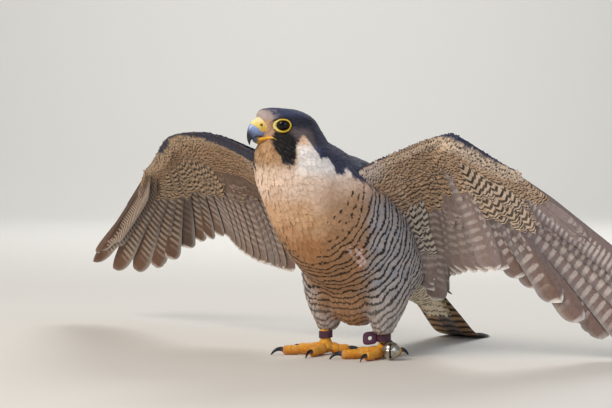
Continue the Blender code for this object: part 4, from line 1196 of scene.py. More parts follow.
def bladePiece(name, stems, normals, leading, trailing, sideways, values, thickness, sheet=None):
    # flight feathers as closed blades on a grid: rows along, columns from the trailing to the
    # leading edge; the upper and the under sheet share their edges
    count, rows = stems.shape[:2]
    columns = np.array(remex["columns"])
    across = columns[None, None, :] * np.where(columns > 0, leading[..., None], trailing[..., None])
    tilted = across * remex["tilt"] * np.clip(np.linspace(0, 4, rows), 0, 1)[None, :, None]
    height = tilted + (sheet(across) if sheet else 0)
    shaft = np.exp(-(columns / 0.08) ** 2)
    along = np.linspace(0, 1, rows)
    thick = remex["vane"] + (thickness[:, None, None] * (1 - 0.8 * along[None, :, None])) * shaft
    thick = np.where(np.abs(columns) == 1, 0, thick) * np.minimum(1, (1.02 - along) * 20)[None, :, None]
    middle = stems[:, :, None] + sideways[:, :, None] * across[..., None]
    middle = middle + normals[:, :, None] * height[..., None]
    top = middle + normals[:, :, None] * thick[..., None]
    low = middle - normals[:, :, None] * thick[..., None]
    ring = np.concatenate([top, low[:, :, -2:0:-1]], 2)
    ringColumns = np.concatenate([columns, columns[-2:0:-1]])
    below = np.concatenate([np.zeros(len(columns)), np.ones(len(columns) - 2)])
    below[[0, len(columns) - 1]] = 0.5
    wide = ring.shape[2]
    per = rows * wide
    base = (np.arange(count) * per)[:, None, None]
    quads, rootCap, tipCap = tubeFaces(rows, wide)
    quads = (base + quads).reshape(-1, 4)
    caps = (base + np.concatenate([rootCap, tipCap])).reshape(-1, wide)
    vane = np.stack(np.broadcast_arrays(ringColumns[None, :], along[:, None]), -1)
    vane = np.broadcast_to(vane[None], (count, rows, wide, 2)).reshape(-1, 2)
    side = np.broadcast_to(below[None, None, :], (count, rows, wide)).reshape(-1)
    corner = np.broadcast_to((np.arange(wide) >= len(columns) - 1)[None, :], (rows - 1, wide)).reshape(-1)
    corner = np.tile(corner, count)
    # on the bake map every feather has a strip of its own, the upper sheet's and the under one's
    strip = bakeBand / count
    start = np.repeat(0.01 + np.arange(count) * strip, per)
    spread = np.stack([start + (vane[:, 0] * 0.5 + 0.5) * (strip * 0.9), 0.01 + vane[:, 1] * 0.97], -1)
    quadMap = spread[quads] + corner[:, None, None] * np.array([0.5, 0])
    points = ring.reshape(-1, 3)
    piece = solid(name, points, [quads, caps], values(points, vane, side, np.repeat(np.arange(count), per)),
                  {"vane": [vane[quads], vane[caps]], "OFBake": [quadMap, spread[caps]]}, 0.9)
    print(name, count, "feathers")
    return finished(piece, plumage)


def vaneOutline(along, roundFrom, base=0.35):
    # how wide a vane is along the feather: narrow at its base, even, then round to its end
    grow = base + (1 - base) * ramp(along, 0.0, 0.22)
    end = np.sqrt(np.clip(1 - (np.clip(along - roundFrom, 0, None) / (1 - roundFrom)) ** 2.2, 0, 1))
    return grow * end


def flightFeathers(side):
    bones = wingBoneSets[side]
    keys = np.arange(25)
    number = np.concatenate([np.arange(0, 3, 0.5), np.arange(3, 25)])
    count, rows = len(number), remex["rows"]
    along = 1 - (1 - np.linspace(0, 1, rows)) ** 1.25
    chord = np.interp(number, keys, np.linalg.norm(bones["roots"] - bones["leads"], axis=1))
    length = np.interp(number, keys, bones["lengths"])
    m = chord[:, None] - 4 + (length[:, None] + 4) * along
    stem, normal, _, _ = onWing(bones, number[:, None], m)
    way = unit(np.gradient(stem, axis=1))
    sideways = unit(np.cross(normal, way))
    forwards = column(number, keys, bones["leads"] - bones["roots"])
    sideways = sideways * np.sign((sideways * forwards[:, None]).sum(-1, keepdims=True))
    primary = np.clip((number - 14) / 4, 0, 1)[:, None]
    outer = np.clip((number - 18) / 6, 0, 1)[:, None]
    draws = np.random.default_rng(71 if side == "left" else 81)
    grow = 0.95 + 0.1 * draws.random(count)[:, None]
    leading = (7.5 - 2.2 * primary - 0.8 * outer) * vaneOutline(along, 0.93 - 0.12 * outer) * grow
    trailing = (16.5 + 2.0 * primary + 1.5 * outer) * vaneOutline(along, 0.90 - 0.14 * outer) * grow
    # the two outmost primaries narrow near their tips
    notch = np.clip((number - 22) / 1, 0, 1)[:, None] * ramp(along, 0.72, 0.82)
    trailing = trailing * (1 - 0.3 * notch)
    # small splits where barbs have parted
    for _ in range(3):
        where = draws.random((count, 1)) * 0.6 + 0.35
        trailing = trailing * (1 - 0.10 * draws.random((count, 1)) * np.exp(-((along - where) / 0.012) ** 2))

    def values(points, vane, below, which):
        across, at = vane[:, 0], vane[:, 1]
        real = 1 - (1 - at) ** 1.25
        i = number[which]
        prime = np.clip((i - 14) / 2, 0, 1)
        span = length[which]
        plain = (np.abs(i - 18) < 0.1) & (side == "right")
        tone = np.array(covert[side]["tone"])
        # on the right wing these tints carry painted shade
        under = mix(remexTint[side], primeTint[side], prime * 0.85)
        warm = ramp(real, 0.62, 0.95) * prime
        under = mix(under, wingTint["rust"], warm * 0.35)
        under = mix(under, linear("#5b4b43"), plain * 0.75)
        # white tips on the secondaries and the inner primaries, and thin pale trailing edges
        tipWhite = ramp(real + 0.012 * np.abs(across), 0.972, 0.988)
        tipWhite = tipWhite * (1 - 0.9 * np.clip((i - 18) / 3, 0, 1))
        edgeWhite = ramp(-across, 0.93, 1.0) * (0.35 + 0.3 * prime) * ramp(real, 0.5, 0.9)
        under = mix(under, wingTint["remexWhite"], np.maximum(tipWhite, edgeWhite))
        upper = (wingTint["remexUpper"] + wingTint["slate"]) / 2
        upper = mix(upper, wingTint["remexWhite"], tipWhite * 0.8)
        shade = 0.92 + 0.16 * luckOf(which, side)
        ground = mix(upper, under, below) * shade[:, None]
        # the pale marks are darkened on the right wing by its tone: painted shade
        pale = mix(wingTint["remexPale"] * (0.5 + 0.5 * tone), wingTint["remexPale"] * tone, prime)
        mark = mix(wingTint["remexUpperPale"], pale, below)
        spacing = np.interp(i, [1, 14, 18, 22, 24], [8.6, 9.0, 11.5, 10.5, 6.2])
        phase = real * span / spacing - 0.35 * np.abs(across) + 0.13 * i
        # rounded marks: widest in the middle of the trailing vane
        half = np.where(across < 0,
                        np.interp(-across, [0, 0.1, 0.4, 0.72, 1.0], [0.03, 0.1, 0.25, 0.22, 0.12]),
                        np.interp(across, [0, 0.1, 0.5, 1.0], [0.03, 0.08, 0.16, 0.1]))
        inner = np.where(across < 0,
                         np.interp(-across, [0, 0.1, 0.4, 0.8, 1.0], [-0.5, -0.2, 0.9, 0.8, 0.15]),
                         np.interp(across, [0, 0.1, 0.5, 1.0], [-0.5, -0.35, 0.25, -0.2]) - 0.5 * prime)
        fade = 1 - ramp(real, 0.80, 0.93)
        outmost = np.clip(i - 21, 0, 1)
        strength = np.where(below > 0.6, 0.66 + 0.14 * prime + 0.2 * outmost, 0.4)
        strength = fade * strength * np.where(plain, 0.2, 1)
        half = half + 0.05 * outmost
        return markings(ground, mark, (phase, half, strength), (inner, 0.12, real * span / 1.6))

    def sheet(across):
        # how high the wing's sheet stands over a blade's flat, at so far across it: the sheet is
        # followed to the neighbouring feather number that lies there
        step = 0.1
        i, reach = number[:, None], m
        slope = (onWing(bones, i + step, reach)[0] - onWing(bones, i - step, reach)[0])
        slope = slope / (np.clip(i + step, 0, 24) - np.clip(i - step, 0, 24))[..., None]
        over = (slope * sideways).sum(-1)
        over = np.where(over > 0, 1, -1) * np.maximum(np.abs(over), 2.5)
        back = (slope * way).sum(-1)
        j = i[..., None] + across / over[..., None]
        place = onWing(bones, np.clip(j, 0, 24), reach[..., None] - across * (back / over)[..., None])[0]
        flat = stem[:, :, None] + sideways[:, :, None] * across[..., None]
        rise = ((place - flat) * normal[:, :, None]).sum(-1)
        return np.clip(np.where((j < 0) | (j > 24), 0, rise), -3, 3)

    thickness = 0.35 + 0.3 * primary[:, 0]
    return bladePiece(f"remiges_{side}", stem, normal, leading, trailing, sideways, values, thickness, sheet)


def luckOf(which, side):
    return np.random.default_rng(5 if side == "left" else 6).random(40)[which]


print("flight feathers")
for side in ("left", "right"):
    flightFeathers(side)

# Tail
print("tail")


def tailFeathers():
    # twelve tail feathers: the middle pair uppermost, each outer one under its neighbour
    number = np.arange(12)
    across = (number - 5.5) / 5.5
    count, rows = 12, remex["rows"]
    along = 1 - (1 - np.linspace(0, 1, rows)) ** 1.25
    outwards = np.abs(across)
    length = tail["length"] - 2 - 10 * outwards**2
    s = 8 + (length[:, None] - 8) * along
    spread = across[:, None] * 0.66
    stem, normal = onTail(spread, s)
    depth = (2.4 - 3.2 * outwards)[:, None]
    stem = stem + normal * (depth * (1 - 0.72 * ramp(s, 110, 165)))[..., None]
    stem[..., 2] = np.maximum(stem[..., 2], 0.6)
    way = unit(np.gradient(stem, axis=1))
    sideways = unit(np.cross(normal, way)) * np.sign(across)[:, None, None]
    sideways = sideways * np.sign(sideways[:, :1, :1]) * np.sign(across)[:, None, None]
    leading = (8.5 - 2.5 * outwards[:, None]) * vaneOutline(along, 0.9)
    trailing = np.full((count, 1), 11.5) * vaneOutline(along, 0.88)

    def values(points, vane, below, which):
        real = 1 - (1 - vane[:, 1]) ** 1.25
        under = mix(linear("#a8845c"), linear("#c4ad8c"), 1 - ramp(real, 0.1, 0.6))
        under = mix(under, linear("#2a2019"), ramp(real, 0.80, 0.84))
        under = mix(under, linear("#e9dfd0"), ramp(real, 0.965, 0.98))
        upper = mix(linear("#6a7084"), linear("#24252e"), ramp(real, 0.80, 0.84))
        upper = mix(upper, linear("#e9dfd0"), ramp(real, 0.965, 0.98))
        ground = mix(upper, under, ramp(below, 0.3, 1))
        mark = mix(linear("#24252e"), linear("#2a1f16"), below)
        phase = real * length[which] / 11.5 - 0.12 * np.abs(vane[:, 0])
        strength = (1 - ramp(real, 0.78, 0.82)) * 0.92
        return markings(ground, mark, (phase, 0.22, strength), (1.0, 0.15, real * 100))

    return bladePiece("rectrices", stem, normal, leading, trailing, sideways, values,
                      np.full(count, 0.4))


def tailCoverts(name, face, rows, seed, tones):
    # coverts in rows over the tail's root, above (face 1) or below (-1)
    draws = np.random.default_rng(seed)
    starts = []
    for number, (s, reach, length, halfWidth, spacing) in enumerate(rows):
        wide = 2 * reach * read(tail["half"], s)
        amount = max(int(wide / spacing), 3)
        a = (np.arange(amount) + 0.25 + 0.5 * (number % 2)) / amount * 2 - 1
        a = np.clip(a, -1, 1) * reach + (draws.random(amount) - 0.5) * 0.1
        starts.append(np.stack([a, np.full(amount, s) + (draws.random(amount) - 0.5) * 4,
                                length * (0.9 + 0.2 * draws.random(amount)),
                                np.full(amount, halfWidth)], 1))
    start = np.concatenate(starts)
    count = len(start)
    chance = draws.random((count, 3))
    at, outline = outlines["broad"]
    s = start[:, 1:2] + start[:, 2:3] * at
    across = start[:, :1] * (1 + 0.1 * at)
    place, normal = onTail(across, np.maximum(s, 0))
    base = place + normal * (face * (2.6 + 9.0 * ramp(-s, -46, -6) + np.where(face < 0, 0.8, 1.6)))[..., None]
    behindRoot = np.minimum(s, 0)
    base = base + behindRoot[..., None] * np.array([0, np.cos(tail["pitch"]), -np.sin(tail["pitch"])])
    up = normal * face
    stem = base + up * (0.3 + 2.2 * at * (0.7 + 0.6 * chance[:, :1]))[..., None]
    stem[..., 2] = np.maximum(stem[..., 2], 0.5)
    way = unit(np.gradient(stem, axis=1))
    sideways = unit(np.cross(way, up))
    patch = np.stack([0.5 + start[:, 0] * 0.2 + 0.25 * face, 0.05 + (start[:, 1] + 20) / 150], -1)

    def marks(points, vane):
        return tones(points, vane, chance, start[:, 2])

    width = start[:, 3:] * (0.86 + 0.28 * draws.random((count, len(at))))
    return vanePiece(name, stem, sideways, up, width, outline, 0.1, 0.12, marks, patch)


def ventTones(points, vane, chance, length):
    # cream tongue under the tail with thin broken bars, ochre at its sides
    across, along = vane[..., 0], vane[..., 1]
    side = ramp(np.abs(points[..., 0]), 11, 19)
    ground = mix(tint["vent"], linear("#f1e6cd"), chance[:, :1] * 0.7)
    ground = mix(ground, linear("#a4814f"), side * 0.8)
    away = (points[..., 1] - 60) / 1.27 + (140 - points[..., 2]) * 0.3
    phase = away / 8.6 + 0.25 * np.abs(across) + (chance[:, 1:2] - 0.5) * 0.25
    return markings(ground, tint["ventBar"], (phase, 0.09 + 0.07 * side, 0.85), (1.0, 0.1, along * 30))


def rumpTones(points, vane, chance, length):
    # grey upper tail coverts with dim bars
    along = vane[..., 1]
    ground = tint["rump"] * (0.85 + 0.3 * chance[:, 1:2])[..., None]
    return markings(ground, tint["mantleBar"], (along * 3.0 + chance[:, :1] * 0.3, 0.17, 0.75),
                    (1.0, 0.3, along * 30))


tailFeathers()
ventRows = [(s, 0.95 - 0.008 * max(s, 0), 30 + 0.25 * s, 4.6, 4.0) for s in range(-24, 44, 5)]
rumpRows = [(s, 0.92, 28 + 0.2 * s, 5.0, 4.4) for s in range(-22, 22, 6)]
tailCoverts("ventCoverts", -1, ventRows, 91, ventTones)
tailCoverts("rumpCoverts", 1, rumpRows, 92, rumpTones)

# Head: bill, cere, eyes
print("head")
bill = {
    "upper": [(33, 0.4, 8.8, 10.0), (36, 0.4, 8.3, 9.8), (40, 0.2, 7.4, 9.1), (44.5, -1.2, 6.3, 8.0),
              (47.8, -3.6, 4.9, 6.1), (50.2, -7.0, 3.4, 4.0), (51.5, -11.0, 2.0, 2.2),
              (51.5, -14.0, 1.0, 1.1), (51.0, -16.2, 0.25, 0.3)],
    "lower": [(33, -12.6, 6.8, 3.4), (36, -12.6, 6.2, 3.4), (40, -12.3, 5.4, 3.4),
              (43.5, -11.2, 4.6, 3.6), (46.3, -10.1, 3.4, 3.0), (48.2, -9.8, 1.0, 1.0)],
    "nostril": (42.0, 2.4), "nostrilRadius": 1.5,
}


def billSurface(rows, t, angle, puff=0.0):
    # t along the bill, angle round it (0 at the bird's left, a quarter turn up at the ridge):
    # an oval pinched towards the ridge, square to the bill's curve
    row = table(rows, t)
    nearby = table(rows, t + 0.02)
    way = unit(nearby[..., :2] - row[..., :2])
    up = np.stack([-way[..., 1], way[..., 0]], -1)
    c, s = np.cos(angle), np.sin(angle)
    pinch = 1 - 0.28 * np.clip(s, 0, 1) ** 1.5
    x = c * pinch * (row[..., 2] + puff)
    y = s * (row[..., 3] + puff)
    return onHead(row[..., 0] + up[..., 0] * y, x, row[..., 1] + up[..., 1] * y)


def billPiece(name, rows, node, toothAt=None):
    t = np.linspace(0, len(rows) - 1.02, 60)[:, None]
    angle = turns(40)[None, :]
    t, angle = np.broadcast_arrays(t, angle)
    points = billSurface(rows, t, angle)
    a, s, u = headPlace(points)
    if toothAt:
        edge = np.clip(-np.sin(angle), 0, 1) * np.abs(np.cos(angle)) * 2
        points = points - upwards * (edge * 1.3 * np.exp(-((a - toothAt) / 1.1) ** 2))[..., None]
    dark = ramp(a * 0.7 - u * 0.55, 33.5, 41.5)
    ground = mix(linear("#9bb4e8"), linear("#1c1e27"), dark)
    if node == "bill_lower":
        ground = mix(linear("#c69741"), linear("#4c5566"), ramp(a, 43.5, 46))
    return formed(name, points, tubeFaces(60, 40), ground, billHorn, [node])


billPiece("billUpper", bill["upper"], "bill_upper", 47.6)
billPiece("billLower", bill["lower"], "bill_lower")


def cerePiece():
    # a swollen saddle over the bill's base; its front edge runs from the ridge down and back
    angle = np.linspace(-0.42, np.pi + 0.42, 120)[None, :]
    t = np.linspace(0, 1, 70)[:, None]
    s = np.sin(angle)
    end = np.interp(s, [-0.9, -0.5, 0, 0.5, 1], [2.3, 2.8, 3.2, 3.45, 3.6])
    along = end * t
    puff = 0.95 * (1 - t**5) * (0.75 + 0.25 * s) - 0.25 * t**8
    angle = np.broadcast_to(angle, puff.shape)
    points = billSurface(bill["upper"], along, angle, puff)
    inner = billSurface(bill["upper"], along, angle, np.full(puff.shape, -0.6))
    a, sideways, u = headPlace(points)
    hole = np.hypot(a - bill["nostril"][0], u - bill["nostril"][1]) / bill["nostrilRadius"]
    near = np.abs(sideways) > 3
    inwards = np.sign(sideways)[..., None] * aside * -1
    dent = near * (0.55 * (1 - ramp(hole, 0.55, 1.05)) - 0.35 * np.exp(-((hole - 1.35) / 0.3) ** 2)
                   - 0.5 * np.exp(-(hole / 0.33) ** 2))
    points = points + inwards * dent[..., None]
    rows, columns = points.shape[:2]
    top = np.arange(rows * columns).reshape(rows, columns)
    sheet = gridFaces(rows, columns, around=False)
    rim = np.concatenate([top[0, :], top[1:, -1], top[-1, -2::-1], top[-2:0:-1, 0]])
    rimLow = rim + rows * columns
    wall = np.stack([rim, rimLow, np.roll(rimLow, -1), np.roll(rim, -1)], -1)
    ground = mix(linear("#f9df7c"), linear("#e9b53a"), ramp(-u, -5, 7))
    # a pale top on the cere: painted highlight
    ground = mix(ground, linear("#fff8c4"), ramp(u, 3, 7) * 0.9)
    # the nostril's opening painted dark brown: painted shade inside the hole
    ground = mix(ground, linear("#4a2508"), near * (1 - ramp(hole, 0.7, 1.15)) * 0.95)
    ground = mix(ground, linear("#b07a2a"), near * (1 - ramp(hole, 0.25, 0.45)) * 0.8)
    faces = [np.concatenate([sheet, sheet[:, ::-1] + rows * columns, wall[:, ::-1]])]
    return formed("cere", np.concatenate([points, inner]), faces, np.concatenate([ground, ground]),
                  waxySkin)


cerePiece()


def gapePiece(sign):
    # the fleshy corner of the mouth: a tapered roll from the bill's base back to the cheek, laid
    # half into the skin
    path = np.array([(44.4, 5.6, -11.1), (43.2, 6.2, -11.0), (40.4, 8.6, -10.2), (37, 10.8, -9.8),
                     (33.8, 13.6, -11.2), (31.4, 16.2, -13.8), (29.6, 17.6, -16.4)])
    rows = drawnOut(path, 30)
    middle = onHead(rows[:, 0], rows[:, 1] * sign, rows[:, 2])
    skinPlace, outwards = onForm(middle)
    t = np.linspace(0, 1, 30)
    laid = ramp(t, 0.3, 0.55)[:, None]
    middle = middle * (1 - laid) + (skinPlace + outwards * 0.7) * laid
    radius = 1.45 * np.sin(np.clip(t * 1.12 + 0.12, 0, 1) * np.pi) ** 0.5 * (1 - 0.25 * t) + 0.2
    way = unit(np.gradient(middle, axis=0))
    up = unit(upwards - way * (way @ upwards)[:, None])
    side = unit(np.cross(way, up))
    ring = ovals(middle, side, up, radius * 0.9, radius, radius, 16)
    ground = mix(linear("#e6a826"), linear("#f3c04a"), np.repeat(ramp(t, 0.2, 0.7), 16))
    name = "gapeLeft" if sign > 0 else "gapeRight"
    return formed(name, ring, tubeFaces(30, 16), ground, waxySkin)


def eyePieces(sign):
    centre, out, forth, up = eyeFrame(sign)
    name = "Left" if sign > 0 else "Right"
    # eyeball: polar grid about the way it looks, the cornea a little proud
    polar = np.linspace(0, np.pi, 40)[:, None]
    angle = turns(48)[None, :]
    radius = eye["radius"] + 0.45 * (1 - ramp(polar, 0.45, 0.85))
    ball = (centre + (radius * np.cos(polar) * np.ones_like(angle))[..., None] * out
            + (radius * np.sin(polar) * np.cos(angle))[..., None] * forth
            + (radius * np.sin(polar) * np.sin(angle))[..., None] * up)
    fromAxis = np.degrees(polar) * np.ones_like(angle)
    ground = mix(linear("#050506"), linear("#2b1a10"), ramp(fromAxis, 27, 31))
    ground = mix(ground, linear("#0c0a0c"), ramp(fromAxis, 52, 58))
    ballPoints = np.concatenate([ball[1:-1].reshape(-1, 3), [ball[0, 0]], [ball[-1, 0]]])
    k = np.arange(48)
    n, last = np.roll(k, -1), 37 * 48
    fan = np.concatenate([np.stack([np.full(48, 38 * 48), n, k], -1),
                          np.stack([np.full(48, 38 * 48 + 1), k + last, n + last], -1)])
    colours = np.concatenate([ground[1:-1].reshape(-1, 3), [ground[0, 0]], [ground[-1, 0]]])
    formed("eyeball" + name, ballPoints, [gridFaces(38, 48), fan], colours, eyeWet,
           ["eye_left" if sign > 0 else "eye_right"])
    # orbital ring and lids: from the opening's rim on the ball out over the bowl's edge
    angle = turns(96)[None, :]
    t = np.linspace(0, 1, 22)[:, None]
    c, s = np.cos(angle), np.sin(angle)
    front, back, top, bottom = eye["ring"]
    innerX, innerZ = c * eye["opening"][0], s * eye["opening"][1] * np.where(s > 0, 0.92, 1.0)
    outerX, outerZ = c * np.where(c > 0, front, back), s * np.where(s > 0, top, bottom)
    x = innerX + (outerX - innerX) * t
    z = innerZ + (outerZ - innerZ) * t
    rimHeight = np.sqrt(eye["radius"] ** 2 - innerX**2 - innerZ**2) + 0.25
    outerHeight = 3.6 + 1.3 * ramp(outerX, -6, 9)
    height = rimHeight + (outerHeight - rimHeight) * t
    height = height + 0.9 * np.sin(np.pi * np.clip(t * 1.2, 0, 1)) ** 0.8 + 0.18 * np.sin(t * 19) * (1 - t)
    height = height - 1.2 * ramp(t, 0.86, 1.0)
    place = (centre + height[..., None] * out + x[..., None] * forth + z[..., None] * up)
    inside = place - out * np.linspace(1.6, 1.2, 22)[:, None, None]
    ring = np.concatenate([place, inside[::-1]])
    yellow = mix(linear("#f2cf4a"), linear("#fbe98d"), ramp(c, 0.2, 0.9) * np.ones_like(t))
    whole = t * np.ones_like(c)
    yellow = mix(yellow, linear("#2a1c0c"), 1 - ramp(whole, 0.0, 0.10))
    yellow = mix(yellow, linear("#a5661c"), ramp(whole, 0.66, 0.86) * 0.8)
    formed("orbitalRing" + name, ring, [gridFaces(len(ring), 96, closed=True)],
           np.concatenate([yellow, yellow[::-1]]), waxySkin)


for sign in (1, -1):
    gapePiece(sign)
    eyePieces(sign)

# Feet, claws, anklets and bell
print("feet")
foot = {
    "legEnd": 25, "tarsus": 4.7, "palm": 8.2, "voxel": 0.55,
    # bearing from straight ahead towards the bird's left, length, root and end radius
    "toes": {"right": [(-45, 44, 5.2, 3.7), (8, 31, 5.0, 3.7), (-92, 34, 4.6, 3.4), (128, 24, 5.4, 4.0)],
             "left": [(-40, 44, 5.2, 3.7), (-88, 31, 5.0, 3.7), (2, 34, 4.6, 3.4), (174, 24, 5.4, 4.0)]},
    "claws": [16, 17, 14, 20], "endRadius": [3.9, 3.9, 3.6, 4.2],
}


def toeRings(side):
    x, y = feet[side]
    rings = []
    t = np.linspace(0, 1, 44)
    z = 29 - 24.5 * t
    radius = np.interp(z, [4.5, 6, 9, 12, 15.5, 30],
                       [5.6, 8.4, 8.2, 6.6, foot["tarsus"] + 0.4, foot["tarsus"]])
    plates = 0.16 * np.sin(z * 2 * np.pi / 2.6)
    path = np.stack([np.full(44, x), np.full(44, y), z], 1)
    rings.append(ovals(path, (1, 0, 0), (0, 1, 0), radius, radius + 0.2, radius + 0.5 + plates, 32))
    for bearing, length, root, end in foot["toes"][side]:
        way = towards(bearing)
        s = np.linspace(0, 1, 90)
        joints = 0.5 + 0.5 * np.cos(s * 2 * np.pi * 2.5)
        radius = (root + 0.6 + (end + 0.3 - root) * s) * (0.9 + 0.17 * joints)
        radius = radius * np.where(s > 0.94, np.sqrt(np.clip(1 - ((s - 0.94) / 0.075) ** 2, 0.02, 1)), 1)
        plates = 0.22 * np.abs(np.sin(s * length * np.pi / 2.5)) ** 0.7
        height = np.interp(s, [0, 0.3, 0.75, 1], [foot["palm"], 6.0, 4.2, 4.4]) + 0.2
        path = np.array([x, y, 0]) + (s * length)[:, None] * way + height[:, None] * upwards
        across = np.cross(way, upwards)
        rings.append(ovals(path, across, upwards, radius * 0.95, radius + plates,
                           np.minimum(radius * (0.95 + 0.2 * joints), height - 0.05), 28))
    return rings


def footPiece(side):
    points, groups = melted("foot", toeRings(side), foot["voxel"], 2)
    points[:, 2] = np.maximum(points[:, 2], 0.03)
    x, y = feet[side]
    # the toes darker orange low down and brighter yellow higher up: painted shade under the toes
    up = ramp(points[:, 2], 1.5, 8)
    ground = mix(linear("#e2991f"), linear("#ffc33c"), up)
    ground = mix(ground, linear("#ffdc90"), ramp(waves(points, 14, 2), 0.2, 0.8) * 0.6)
    away = np.hypot(points[:, 0] - x, points[:, 1] - y)
    ground = mix(ground, linear("#d99a48"), ramp(away, 36, 44) * 0.6)
    return formed(f"footSkin_{side}", points, groups, ground, footSkin, [f"foot_{side}"])


def clawPiece(side, index):
    # a curved cone: it leaves the toe's end, rises a little and hooks down to the floor
    bearing, length, _, _ = foot["toes"][side][index]
    way = towards(bearing)
    end, reach = foot["endRadius"][index], foot["claws"][index]
    s = np.linspace(0, 1, 36)
    turn = np.radians(16 - 92 * s)
    step = reach / 35
    out = summed(np.cos(turn[:-1])) * step
    rise = summed(np.sin(turn[:-1])) * step
    x, y = feet[side]
    path = np.array([x, y, 5.4]) + (length + end * 0.25 - 1.4 + out)[:, None] * way + rise[:, None] * upwards
    radius = end * 0.62 * (1 - s) ** 0.72 + 0.12
    path[:, 2] = np.maximum(path[:, 2], radius + 0.1)
    ring = alongPath(path, np.cross(way, upwards), radius * 0.78, radius, 20)
    ground = mix(linear("#4a4a58"), linear("#14141c"), ramp(np.repeat(s, 20), 0.0, 0.3))
    name = f"claw_{side}_{index + 1}"
    return formed(name + "_horn", ring, tubeFaces(36, 20), ground, clawHorn, [name])


def ankletPiece(side):
    # a leather cuff: an oval profile carried round the leg, flared at its rims, with a lapped end
    anklet = {"low": 16.6, "high": 23.6, "inner": 5.3, "outer": 6.9}
    x, y = feet[side]
    angle = turns(72)[:, None]
    profile = turns(24)[None, :]
    middle = (anklet["inner"] + anklet["outer"]) / 2
    c, s = boxed(profile, 0.5)
    across = c * (anklet["outer"] - anklet["inner"]) / 2
    height = s * (anklet["high"] - anklet["low"]) / 2
    flare = 0.5 * (np.abs(np.sin(profile)) ** 3)
    lap = 0.55 * ramp(angle, 1.2, 1.26) * (1 - ramp(angle, 2.3, 2.5))
    radius = middle + across + flare + lap
    lean = 0.5 * np.sin(angle + 1)
    points = np.stack([x + radius * np.cos(angle), y + radius * np.sin(angle),
                       (anklet["low"] + anklet["high"]) / 2 + height + lean], -1)
    return formed(f"ankletCuff_{side}", points, [gridFaces(72, 24, closed=True)], linear("#54283f"),
                  calfLeather, [f"anklet_{side}"])


bell = {"at": np.array([51.5, -7.5, 9.8]), "radius": 8.7, "wall": 0.7, "slot": 0.75, "hole": 1.7,
        "slotFrom": -0.9, "slotTo": 0.75}


def bellPiece():
    # a hollow ball with a seam round it, a slot down its front and a round hole at the slot's end
    facing = unit(np.array([0.45, -0.89, 0.05]))
    right = unit(np.cross(facing, upwards))
    polar = np.linspace(0.004, np.pi - 0.004, 97)[:, None]
    angle = turns(192)[None, :]
    z, level = np.cos(polar) * np.ones_like(angle), np.sin(polar)
    radius = bell["radius"] + 0.35 * np.exp(-(z * bell["radius"] / 0.7) ** 2)
    radius = radius - 0.05
    way = (z[..., None] * upwards + (level * np.sin(angle))[..., None] * right
           + (level * np.cos(angle))[..., None] * facing)
    outer = bell["at"] + radius[..., None] * way
    inner = bell["at"] + (radius - bell["wall"])[..., None] * way
    across = (level * np.sin(angle)) * bell["radius"]
    frontal = np.cos(angle) * level > 0
    inSlot = frontal & (np.abs(across) < bell["slot"]) & (z > bell["slotFrom"]) & (z < bell["slotTo"])
    inHole = np.zeros_like(inSlot)
    for end in (bell["slotFrom"] + 0.15, bell["slotTo"]):
        centre = unit(np.array([np.sqrt(1 - end**2), 0, end]))
        d = np.arccos(np.clip((level * np.cos(angle)) * centre[0] + z * centre[2], -1, 1)) * bell["radius"]
        inHole |= d < bell["hole"]
    rows, columns = z.shape
    quads = gridFaces(rows, columns)
    quads = quads[~(inSlot | inHole).reshape(-1)[quads].any(1)]
    total = rows * columns
    edges = np.concatenate([quads[:, [0, 1]], quads[:, [1, 2]], quads[:, [2, 3]], quads[:, [3, 0]]])
    code = edges[:, 0].astype(np.int64) * total + edges[:, 1]
    back = edges[:, 1].astype(np.int64) * total + edges[:, 0]
    lone = edges[~np.isin(code, back)]
    wall = np.stack([lone[:, 1], lone[:, 0], lone[:, 0] + total, lone[:, 1] + total], -1)
    faces = np.concatenate([quads, quads[:, ::-1] + total, wall])
    points = np.concatenate([outer.reshape(-1, 3), inner.reshape(-1, 3)])
    used = np.unique(faces)
    renumber = np.zeros(len(points), np.int64)
    renumber[used] = np.arange(len(used))
    formed("bellShell", points[used], [renumber[faces]], linear("#d9d4c8"), bellMetal, ["bell_left"])


def tabPiece():
    # the anklet's slit tab: a rounded leather plate with a round eyelet hole, a little curled
    tab = {"at": np.array([22.5, -1.5, 19.5]), "long": 15.0, "high": 13.0, "thick": 1.3, "hole": 1.9}
    across, up = unit(np.array([-0.9, -0.42, -0.12])), upwards
    out = unit(np.cross(across, up))
    angle = turns(64)[None, :]
    t = np.linspace(0, 1, 12)[:, None]
    c, s = boxed(angle, 0.6)
    x = tab["hole"] * np.cos(angle) + (c * tab["long"] / 2 - tab["hole"] * np.cos(angle)) * t
    z = tab["hole"] * np.sin(angle) + (s * tab["high"] / 2 - tab["hole"] * np.sin(angle)) * t
    edge = np.sqrt(np.clip(1 - np.abs(2 * t - 1) ** 6, 0, 1)) * tab["thick"] / 2 + 0.05
    curl = 1.4 * (x / 7) ** 2 + 0.5 * np.sin(z / 3)
    sheets = [tab["at"] + x[..., None] * across + z[..., None] * up + (curl + sign * edge)[..., None] * out
              for sign in (1, -1)]
    ring = np.concatenate([sheets[0], sheets[1][::-1]])
    return formed("ankletTab", ring, [gridFaces(len(ring), 64, closed=True)], linear("#5c2c50"),
                  calfLeather)


def strapPiece():
    # a narrow thong from the left leg to the bell's top
    path = drawnOut([(35.5, 0.0, 15.2), (39.5, -2.0, 14.6), (44, -4.6, 16.6), (48.6, -6.4, 19.2),
                     (51.5, -7.5, 18.6)], 40)
    side = unit(np.cross(unit(np.gradient(path, axis=0)), upwards))
    ring = ovals(path, side, upwards, 1.9, 0.55, 0.55, 16, 3.0)
    return formed("bellStrap", ring, tubeFaces(40, 16), linear("#3a2a2c"), calfLeather)


for side in ("left", "right"):
    footPiece(side)
    ankletPiece(side)
    for index in range(4):
        clawPiece(side, index)
bellPiece()
strapPiece()
tabPiece()
drop(form)

# Stage, light and camera
print("stage")
stage = {"floor": "#d9d7d2", "reach": 14.0, "start": 3.4, "radius": 1.6, "top": 6.0}


